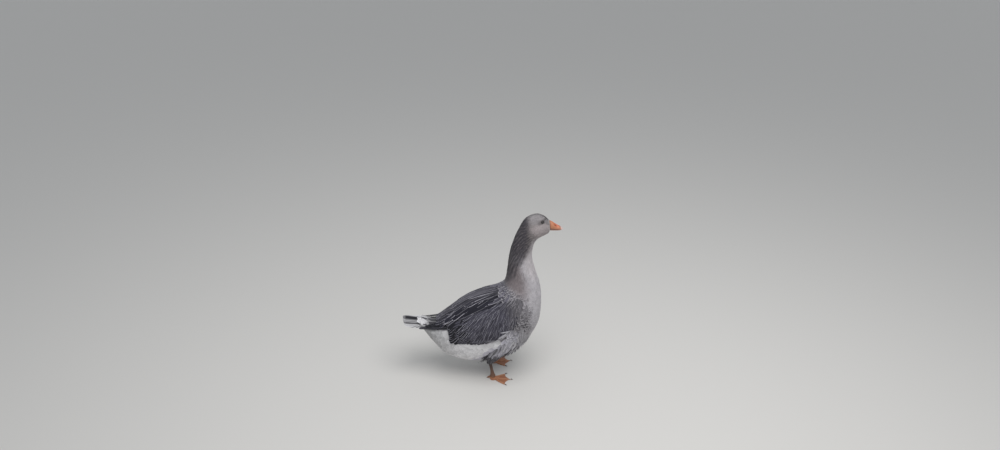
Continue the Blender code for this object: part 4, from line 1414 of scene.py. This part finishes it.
def nearest_on_body(points):
    """(s, a) of the body's form nearest to each point, on a coarse grid."""
    s, a = np.meshgrid(np.linspace(0, BILL_BASE, 205), np.linspace(0, FULL_TURN, 73)[:-1], indexing="ij")
    coarse = np.stack([s.ravel(), a.ravel()], -1)
    return coarse[nearest(points, on_body(coarse)[0])]


def body_shell():
    """Trunk, neck and head as one closed shell, a skin's depth inside the form."""
    s = np.linspace(0.12, BILL_BASE - 0.03, 150)
    a = np.linspace(0, FULL_TURN, 97)[:-1]
    place = np.stack(np.meshgrid(s, a, indexing="ij"), -1)
    point, normal, _, _ = on_body(place)
    depth = np.interp(s, DEPTH_STOPS, SKIN_DEPTHS)
    return lofted(point - normal * depth[:, None, None])


def build_skin():
    """Fuses body, thighs and wings into the skin, and colours it with the markings, darkened as painted shade.
    """
    shells = [body_shell()]
    for _, sign in SIDES:
        _, _, points = thigh_points(sign, THIGH_SKIN_DEPTH)
        shells.append(lofted(points[:, :-1]))
        mirror = np.array((1, sign, 1))
        inner = wing_form(lambda swell: np.full_like(swell, -WING_SKIN_ROOT))[2]
        outer = wing_form(lambda swell: np.maximum(outer_lift(swell) - FEATHER_ROOM - 0.001, -0.004))[2]
        shells.append(plated(inner[2:-2, 1:-1] * mirror, outer[2:-2, 1:-1] * mirror))
    mesh = fused("skin", shells)
    points = coordinates(mesh)
    place = nearest_on_body(points)
    colour = markings(place[:, 0], place[:, 1])
    wing = under_wing(points, 0.004) & (np.abs(points[:, 1]) > 0.02)
    front = ease(0.000, 0.060, points[:, 0] - MIDWAY)[:, None]
    # painted shade: the whole skin is darkened, as it shows only in the shaded gaps between feathers
    colour = np.where(wing[:, None], COVERT + (SHOULDER_BROWN - COVERT) * front, colour) * 0.8
    colour_layer(mesh, "tint", colour)
    skin = shown("skin", mesh, skin_material())
    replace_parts(skin, "trunk", "rump", "neck", "head", "thigh_left", "thigh_right", "wing_left", "wing_right")


def mottling():
    """A tint times level + depth * noise, and the noise itself: down, horn and iris all have it."""
    group, given, out = new_group(
        "mottling",
        (("Tint", "NodeSocketColor", (0.5, 0.5, 0.5, 1)), ("Scale", "NodeSocketFloat", 100.0),
         ("Detail", "NodeSocketFloat", 4.0), ("Depth", "NodeSocketFloat", 0.5),
         ("Level", "NodeSocketFloat", 0.75)),
        (("Color", "NodeSocketColor"), ("Grain", "NodeSocketFloat")),
    )
    grain = noise(group, given.outputs["Scale"], given.outputs["Detail"])
    light = calculate(group, "MULTIPLY_ADD", grain, given.outputs["Depth"], given.outputs["Level"])
    group.links.new(shaded(group, given.outputs["Tint"], light), out.inputs["Color"])
    group.links.new(grain, out.inputs["Grain"])
    return group


mottling_group = mottling()


def mottled(tree, shader, scale, detail, depth, level):
    """Gives the shader the piece's own tint, mottled; returns the grain."""
    node = placed(tree, mottling_group, {"Scale": scale, "Detail": detail, "Depth": depth, "Level": level})
    tree.links.new(layer_reader(tree, "tint").outputs["Color"], node.inputs["Tint"])
    tree.links.new(node.outputs["Color"], shader.inputs["Base Color"])
    return node.outputs["Grain"]


def skin_material():
    """Downy skin: the markings' colour with fine fibres in colour and bump."""
    made, tree, shader = new_material("down_on_skin", {"Roughness": 0.9, "Sheen Weight": 0.2})
    relieved(tree, shader, mottled(tree, shader, 420.0, 4.0, 0.6, 0.7), 0.5, 0.001)
    return made


build_skin()


# ---------------------------------------------------------------------------------------------
# The bill: horn over bone, deep at its base. Both halves meet along the gape, the upper one has a
# long nostril in a soft hollow, and a hard pale nail caps its tip.

BILL_X = np.array((0.2012, 0.2550)) + MIDWAY
BILL_LEAN = -0.098
CULMEN_Z = (0.7350, 0.7295, 0.7215, 0.7140, 0.7080, 0.6985)
TOMIUM_Z = (0.7040, 0.7025, 0.7005, 0.6985, 0.6970, 0.6960)
LOWER_Z = (0.6910, 0.6905, 0.6905, 0.6910, 0.6925, 0.6945)
BILL_WIDTHS = (0.0175, 0.0160, 0.0148, 0.0138, 0.0122, 0.0030)
NAIL_START, LOWER_END = 0.80, 0.90  # along the bill
GAPE_GAP = 0.0006
BILL_CREASE = math.radians(50)
BILL_ORANGE = tone(178, 118, 80)
BILL_PALE = tone(168, 114, 94)
BILL_RED = tone(192, 104, 74)
BILL_BORDER = tone(104, 66, 50)
NOSTRIL = tone(112, 52, 28)
# the gape's dark line, and the painted shade that the upper half casts on the lower one
GAPE_AND_SHADE = tone(60, 32, 28)
NAIL_PALE = tone(204, 176, 170)


def bill_grid(start, end, rings, sides, top_z, low_z, narrow, round_top):
    """A half bill, domed on a flat side: height is low + (top - low) sin^0.9, width goes as the cosine."""
    along = np.linspace(start, end, rings)
    course = along * (len(CULMEN_Z) - 1)
    top, low, width = (smooth_course(v, course) for v in (top_z, low_z, BILL_WIDTHS))
    turn = np.linspace(0, math.pi, sides)
    rise = np.sin(turn) ** 0.9
    top, low, width = top[:, None], low[:, None], width[:, None]
    z = low + (top - low) * rise if round_top else top - (top - low) * rise
    x = (BILL_X[0] + along * (BILL_X[1] - BILL_X[0]))[:, None]
    x = x + BILL_LEAN * (z - TOMIUM_Z[0]) * (1 - along[:, None])
    y = np.cos(turn)[None] * width * narrow
    p, q = np.meshgrid(along, turn, indexing="ij")
    return p, q, np.stack([x, y, z], -1)


def bill_half(name, node, grid, tint, material, turned_over):
    """Builds one closed piece of the bill with its colours and lets it stand for the CAD node."""
    points, quads, tris = lofted(grid)
    if turned_over:
        quads, tris = quads[:, ::-1], tris[:, ::-1]
    mesh = mesh_from(name, points, quads, tris)
    ends = tint[0].mean(axis=0)[None], tint[-1].mean(axis=0)[None]
    colour_layer(mesh, "tint", np.concatenate([tint.reshape(-1, 3), *ends]))
    obj = shown(name, mesh, material)
    mesh.set_sharp_from_angle(angle=BILL_CREASE)
    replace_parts(obj, node)


def horn(name, roughness, coat_weight, mottle, bump_scale, bump_strength, subsurface):
    """Horn or scaly skin: the piece's own tint, mottled, with fine pores in the bump."""
    made, tree, shader = new_material(name, {
        "Coat Roughness": 0.25, "Coat Weight": coat_weight, "Subsurface Weight": subsurface,
        "Subsurface Radius": (1.0, 0.35, 0.2), "Subsurface Scale": 0.002,
    })
    mottled(tree, shader, 130.0, 4.0, mottle, 1.0 - mottle / 2)
    pores = noise(tree, bump_scale, 3.0)
    rough = calculate(tree, "MULTIPLY_ADD", pores, 0.25, roughness - 0.12)
    tree.links.new(rough, shader.inputs["Roughness"])
    relieved(tree, shader, pores, bump_strength, 0.0006)
    return made


bill_horn = horn("bill_horn", 0.42, 0.15, 0.35, 900.0, 0.25, 0.12)
nail_horn = horn("nail_horn", 0.35, 0.25, 0.30, 500.0, 0.15, 0.10)


def build_upper_bill():
    """The upper half: two nostrils in their hollows, and a groove over the cutting edge."""
    p, q, grid = bill_grid(0.0, NAIL_START, 56, 61, CULMEN_Z, TOMIUM_Z, 1.0, True)
    level = np.sin(q)
    nostril = hump(0.43, 0.085, p + 0.10 * (level - 0.75)) * hump(0.76, 0.10, level)
    hollow = hump(0.42, 0.19, p) * hump(0.74, 0.20, level)
    groove = hump(0.20, 0.07, level) * ease(0.0, 0.15, p)
    out = np.stack([np.zeros_like(q), np.cos(q), np.sin(q)], -1)
    grid = grid - out * (0.0022 * nostril + 0.0010 * hollow + 0.0004 * groove)[..., None]
    grid[..., 1] *= 1 + 0.030 * hump(0.0, 0.10, p)
    tint = blend(BILL_ORANGE, BILL_PALE, fade(0.0, 0.35, p) * 0.55)
    tint = blend(tint, BILL_RED, hump(0.52, 0.26, p) * ease(0.25, 0.75, level) * 0.85)
    tint = blend(tint, BILL_PALE, fade(0.20, 0.55, level) * ease(0.10, 0.40, p) * 0.7)
    tint = blend(tint, BILL_PALE, ease(0.66, 0.80, p) * 0.6)
    tint = blend(tint, NOSTRIL, np.clip(nostril * 1.5, 0, 1) * 0.95)
    tint = blend(tint, GAPE_AND_SHADE, hump(0.0, 0.05, level) * 0.6)
    tint = blend(tint, BILL_BORDER, hump(0.0, 0.055, p) * 0.85)
    bill_half("bill_upper_horn", "bill_upper", grid, tint, bill_horn, False)


def build_lower_bill():
    """The lower half, narrower, with the dark line of the gape along its top, widened by painted shade under
    the upper half.
    """
    p, q, grid = bill_grid(0.0, LOWER_END, 50, 49, np.array(TOMIUM_Z) - GAPE_GAP, LOWER_Z, 0.86, False)
    tint = blend(BILL_PALE, BILL_RED, ease(0.3, 0.9, p) * 0.4)
    # painted shade: a broad dark band along the top, where the upper half shades it, over the gape's own line
    tint = blend(tint, GAPE_AND_SHADE, hump(0.0, 0.22, np.sin(q)) * 0.85)
    tint = blend(tint, BILL_BORDER, hump(0.0, 0.055, p) * 0.85)
    bill_half("bill_lower_horn", "bill_lower", grid, tint, bill_horn, True)


def build_bill_nail():
    """The hard pale nail on the tip, a hair's breadth ahead of the upper half."""
    start = NAIL_START + GAPE_GAP / (BILL_X[1] - BILL_X[0])
    p, _, grid = bill_grid(start, 1.0, 24, 61, CULMEN_Z, TOMIUM_Z, 1.0, True)
    tint = blend(NAIL_PALE, BILL_PALE, hump(NAIL_START, 0.04, p) * 0.6)
    bill_half("bill_nail_horn", "bill_nail", grid, tint, nail_horn, False)


build_upper_bill()
build_lower_bill()
build_bill_nail()


# ---------------------------------------------------------------------------------------------
# The eyes: dark brown with a black pupil under a clear front, each in a ring of bare lid skin.

IRIS = tone(26, 19, 16)
PUPIL = tone(12, 10, 10)
LID = tone(58, 48, 44)
EYE_RADIUS = (EYE_HIGH.x - EYE_LOW.x) / 2
NO_TRIANGLES = np.empty((0, 3), int)


def eye_gloss():
    """A wet clear front over a finely flecked iris."""
    made, tree, shader = new_material("eye_gloss", {
        "Roughness": 0.12, "Coat Weight": 1.0, "Coat Roughness": 0.03,
    })
    mottled(tree, shader, 1500.0, 2.0, 0.8, 0.6)
    return made


def build_eye_ball(side, middle, out, east, north, material):
    """A ball about the way out: rings of latitude from its front pole, dark at the pupil and off the iris."""
    polar = np.linspace(0.02, math.pi - 0.02, 40)
    turn = np.arange(48) * FULL_TURN / 48
    ring = np.cos(turn)[:, None] * east + np.sin(turn)[:, None] * north
    globe = np.cos(polar)[:, None, None] * out + np.sin(polar)[:, None, None] * ring
    points, quads, tris = lofted(middle + EYE_RADIUS * 0.99 * globe)
    mesh = mesh_from("eye_ball_" + side, points, quads, tris)
    ahead = dot(points - middle, out) / EYE_RADIUS
    tint = blend(IRIS, PUPIL, ease(0.82, 0.86, ahead))
    colour_layer(mesh, "tint", blend(tint, PUPIL, fade(0.55, 0.66, ahead)))
    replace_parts(shown("eye_ball_" + side, mesh, material), "eye_" + side)


def build_eyelid(side, middle, out, east, north, material):
    """The lids: a rolled ring round the opening, on the ball, drawn to a point in front and behind."""
    turn = np.linspace(0, FULL_TURN, 65)[:-1]
    round_it = np.linspace(0, FULL_TURN, 13)[:-1]
    slope = math.radians(8.0)
    wide = EYE_RADIUS * 0.93
    tall = wide * (0.72 + 0.10 * np.cos(2 * turn))
    flat_x = np.cos(turn) * wide
    flat_y = np.sin(turn) * tall
    tilted_x = flat_x * math.cos(slope) - flat_y * math.sin(slope)
    tilted_y = flat_x * math.sin(slope) + flat_y * math.cos(slope)
    deep = np.sqrt(np.maximum(EYE_RADIUS**2 - flat_x**2 - flat_y**2, 0.0))
    centre = middle + east * tilted_x[:, None] + north * tilted_y[:, None] + out * deep[:, None]
    radial = unit(centre - middle - out * dot(centre - middle, out)[:, None])
    thick = 0.00085 + 0.0003 * np.sin(turn).clip(0, 1)
    tube = radial[:, None] * np.cos(round_it)[:, None] + out * np.sin(round_it)[:, None]
    rim = (centre[:, None] + tube * thick[:, None, None]).reshape(-1, 3)
    mesh = mesh_from("eyelid_" + side, rim, ring_quads(len(turn), len(round_it), True), NO_TRIANGLES)
    colour_layer(mesh, "tint", like(LID, rim))
    shown("eyelid_" + side, mesh, material)


gloss_of_eye = eye_gloss()
lid_skin = horn("lid_skin", 0.55, 0.05, 0.3, 1200.0, 0.3, 0.05)
for eye_side, eye_sign in SIDES:
    eye_middle = EYE_MIDDLE * (1, eye_sign, 1)
    eye_out = unit(np.array((0.22, eye_sign, 0.18)))
    eye_east = unit(np.cross(eye_out, (0.0, 0.0, 1.0)))
    eye_axes = eye_out, eye_east, np.cross(eye_east, eye_out)
    build_eye_ball(eye_side, eye_middle, *eye_axes, gloss_of_eye)
    build_eyelid(eye_side, eye_middle, *eye_axes, lid_skin)


# ---------------------------------------------------------------------------------------------
# The bare legs. Shank and webbed foot are one scaly skin, flat under the sole, with ridged toes,
# soft webs and plates on the shank; the claws are separate horn.

FOOT_X = -0.034
TOE_ANGLES = np.array((-37.0, 0.0, 35.0))
TOE_LENGTHS = np.array((0.064, 0.078, 0.070))
TOE_WIDTH, HEEL_RADIUS, WEB_THICK, SOLE_TOP, TURN_OUT = 0.0052, 0.0135, 0.0024, 0.0150, 6.0
SHANK_RADII = (0.0105, 0.0078, 0.0062, 0.0062, 0.0070, 0.0105)
SHANK_OVERLAP = 0.006  # how far the shank runs on above the ankle, inside the thigh
HIND_LEVEL, HIND_BOSS = 0.0115, 0.0044  # the hind toe's height, and how far the heel's boss stands out
LEG_SIDES = 240
LEG_ORANGE = tone(172, 119, 86)
WEB_ORANGE = tone(156, 102, 72)
# painted shade on the shank, under the body
SHANK_PAINTED_SHADE = tone(76, 58, 50)


def foot_reach(angle):
    """Distance from the foot's middle to its outline: toes, webs that dip between them, and the heel."""
    reach = np.full_like(angle, HEEL_RADIUS)
    for degrees, length in zip(TOE_ANGLES, TOE_LENGTHS):
        off = angle - math.radians(degrees)
        spear = length * np.exp(-((off * length / TOE_WIDTH) ** 2) * 0.35)
        reach = np.maximum(reach, np.where(np.abs(off) < math.pi / 2, spear, 0.0))
    degrees = np.degrees(angle)
    inside = np.clip((degrees - TOE_ANGLES[0]) / (TOE_ANGLES[2] - TOE_ANGLES[0]), 0, 1)
    webbed = (degrees > TOE_ANGLES[0]) & (degrees < TOE_ANGLES[2])
    web = np.interp(degrees, TOE_ANGLES, TOE_LENGTHS) * (0.94 - 0.12 * np.abs(np.sin(inside * FULL_TURN)))
    return np.where(webbed, np.maximum(reach, web), reach)


def foot_height(radius, angle, reach):
    """Height of the foot's top, and how much each spot is toe.

    The top is the highest of a thin folded web, a knuckled and plated ridge along each toe, and the ankle's
    pad, and it falls to the rim as sqrt(1 - (radius / reach)^6).
    """
    height = np.full_like(radius, WEB_THICK)
    toe = np.zeros_like(radius)
    for degrees, length in zip(TOE_ANGLES, TOE_LENGTHS):
        off = angle - math.radians(degrees)
        aside, ahead = radius * np.sin(off), radius * np.cos(off)
        ridge = 0.0062 + 0.0060 * np.exp(-radius / 0.020) - 0.0020 * radius / length
        knuckles = 0.0006 * np.cos(ahead / length * 6 * math.pi)
        plates = 0.00022 * np.sin(ahead / 0.0021 * math.pi)
        bump = np.exp(-((aside / TOE_WIDTH) ** 2) * 1.4) * (ahead > -HEEL_RADIUS)
        toe = np.maximum(toe, bump)
        height = np.maximum(height, (ridge + knuckles + plates) * bump)
    fold = 0.00030 * np.sin(radius / 0.0040 * math.pi + 3 * np.sin(angle * 9)) * (1 - toe)
    height = height + fold * ease(0.016, 0.030, radius)
    height = np.maximum(height, SOLE_TOP * np.exp(-((radius / 0.0145) ** 4)))
    rim = np.sqrt(np.clip(1 - (radius / reach) ** 6, 0.0, 1.0))
    return np.minimum(WEB_THICK * 0.45 + (height - WEB_THICK * 0.45) * rim, SOLE_TOP), toe


def foot_rings(turn, ray, foot, boss):
    """Rings and tints of the flat sole from its middle out, then of the foot's top back in to the shank."""
    reach = foot_reach(turn)
    rings, tints = [], []
    for share in (0.15, 0.5, 0.8, 1.0):
        rings.append(foot + ray * (reach * share)[:, None])
        tints.append(like(WEB_ORANGE * 0.8, ray))
    for share in np.linspace(1.0, 0.0, 34)[:-1] ** 0.9:
        radius = np.minimum(np.maximum(reach * share, SHANK_RADII[0] * 0.98), reach * 0.999)
        height, toe = foot_height(radius, turn, reach)
        spot = foot + ray * radius[:, None] + boss(height)
        spot[:, 2] = height
        rings.append(spot)
        tints.append(blend(WEB_ORANGE, LEG_ORANGE, toe))
    return rings, tints


def shank_rings(turn, ray, sign, boss):
    """Rings and tints up the shank, into the thigh's feathers.

    A ring's radius is the shank's, a little longer fore and aft, plus broad plates in front, a net of small
    scales all round, and the ankle's swell.
    """
    rings, tints = [], []
    climb = np.linspace(0, 1, 46)[1:]
    for t, radius in zip(climb, smooth_course(SHANK_RADII, climb * (len(SHANK_RADII) - 1))):
        z = SOLE_TOP + (ANKLE[1] + SHANK_OVERLAP - SOLE_TOP) * t
        x = FOOT_X + (ANKLE[0] - FOOT_X) * t + MIDWAY
        plates = 0.00028 * np.sin(z / 0.0030 * math.pi) * ease(0.0, 0.6, np.cos(turn))
        level = z / 0.0022 * math.pi
        net = 0.00016 * np.sin(level + turn * 8) * np.sin(level - turn * 8)
        swell = 0.0012 * hump(0.96, 0.10, t) * np.abs(np.cos(turn))
        full = radius * (1 + 0.10 * np.cos(2 * turn)) + plates + net + swell
        ring = np.array((x, sign * LEG_SPREAD, z)) + ray * full[:, None]
        rings.append(ring + boss(ring[:, 2]))
        # painted shade: the shank darkens upwards towards the body, in the shade under it
        tints.append(like(blend(LEG_ORANGE, SHANK_PAINTED_SHADE, 0.72 + 0.40 * t), ray))
    return rings, tints


def build_leg(side, sign, material):
    """One bare leg: foot and shank lofted as one skin, with a low boss behind the heel for the hind toe."""
    turn = -math.pi + (np.arange(LEG_SIDES) + 0.5) * FULL_TURN / LEG_SIDES
    angle = sign * (turn + math.radians(TURN_OUT))
    ray = np.stack([np.cos(angle), np.sin(angle), np.zeros_like(turn)], -1)
    behind = HIND_BOSS * hump(0.0, 0.42, math.pi - np.abs(turn))

    def boss(height):
        """How far the skin stands out at a height."""
        return (behind * hump(HIND_LEVEL, 0.0085, height))[:, None] * ray

    foot, foot_tints = foot_rings(turn, ray, np.array((FOOT_X + MIDWAY, sign * LEG_SPREAD, 0.0)), boss)
    shank, shank_tints = shank_rings(turn, ray, sign, boss)
    points, quads, tris = lofted(np.array(foot + shank))
    if sign > 0:
        quads, tris = quads[:, ::-1], tris[:, ::-1]
    tints = foot_tints + shank_tints
    mesh = mesh_from("leg_skin_" + side, points, quads, tris)
    colour_layer(mesh, "tint", np.concatenate([*tints, tints[0][:1], tints[-1][:1]]))
    leg = shown("leg_skin_" + side, mesh, material)
    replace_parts(leg, "foot_" + side, "shank_" + side)


def plain_horn(name, colour, roughness):
    """Horn of one colour, mottled by noise, for the CAD's own claws and hind toes."""
    made, tree, shader = new_material(name, {"Roughness": roughness})
    dark, light = (tuple(colour * share) + (1.0,) for share in (0.7, 1.2))
    tree.links.new(mix(tree, noise(tree, 260.0, 4.0), dark, light), shader.inputs["Base Color"])
    return made


leg_skin = horn("leg_skin", 0.60, 0.0, 0.45, 700.0, 0.45, 0.10)
hind_skin = plain_horn("hind_toe_skin", LEG_ORANGE * 0.62, 0.6)
claw_horn = plain_horn("claw_horn", tone(86, 66, 54), 0.45)
for leg_side, leg_sign in SIDES:
    build_leg(leg_side, leg_sign, leg_skin)
    own_solids = [(f"claw_{leg_side}_{toe}", claw_horn) for toe in ("inner", "middle", "outer")]
    for node, material in own_solids + [("hind_toe_" + leg_side, hind_skin)]:
        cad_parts[node].data.materials.clear()
        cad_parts[node].data.materials.append(material)


# ---------------------------------------------------------------------------------------------
# The stage: a plain pale floor, a soft sky with one high broad panel of light, and the camera. The
# camera stands to the goose's right and looks down on it from about a person's height.

FLOOR_HALF = 60.0
FLOOR_TONE = (0.62, 0.60, 0.57, 1)
SKY_TONE, SKY_POWER = (0.90, 0.945, 1.0, 1), 0.55
PANEL_PLACE, PANEL_WIDTH, PANEL_POWER = (0.6, -1.2, 3.2), 2.6, 75.0
CAMERA_PLACE, CAMERA_PITCH, CAMERA_LENS = (0.0820, -2.7775, 1.95), 66.0, 26.676


def build_floor():
    """A flat square under the feet, staged so that it isn't part of the goose."""
    made, _, _ = new_material("floor_plain", {"Base Color": FLOOR_TONE, "Roughness": 0.9})
    corners = np.array(((-1, -1, 0), (1, -1, 0), (1, 1, 0), (-1, 1, 0))) * FLOOR_HALF
    mesh = mesh_from("floor", corners, np.array([[0, 1, 2, 3]]), NO_TRIANGLES)
    mesh.materials.append(made)
    in_scene("floor", mesh)


def build_light():
    """The sky's even light, and a round panel turned to the floor's middle."""
    scene = bpy.context.scene
    scene.world = bpy.data.worlds.new("soft_sky")
    scene.world.use_nodes = True
    sky = scene.world.node_tree.nodes["Background"]
    sky.inputs["Color"].default_value = SKY_TONE
    sky.inputs["Strength"].default_value = SKY_POWER
    scene.view_settings.view_transform = "Standard"
    lamp = bpy.data.lights.new("overhead_panel", "AREA")
    lamp.shape = "DISK"
    lamp.size = PANEL_WIDTH
    lamp.energy = PANEL_POWER
    panel = in_scene("overhead_panel", lamp)
    panel.location = PANEL_PLACE
    way = -np.array(PANEL_PLACE) / np.linalg.norm(PANEL_PLACE)
    panel.rotation_euler = (math.acos(-way[2]), 0.0, math.atan2(way[1], way[0]) - math.pi / 2)


def build_camera():
    """One still camera, turned down by 90 degrees less its pitch."""
    data = bpy.data.cameras.new("camera")
    data.lens = CAMERA_LENS
    data.sensor_width = 36.0
    data.clip_end = 200.0
    camera = in_scene("camera", data)
    camera.location = CAMERA_PLACE
    camera.rotation_euler = (math.radians(CAMERA_PITCH), 0.0, 0.0)
    bpy.context.scene.camera = camera


build_floor()
build_light()
build_camera()
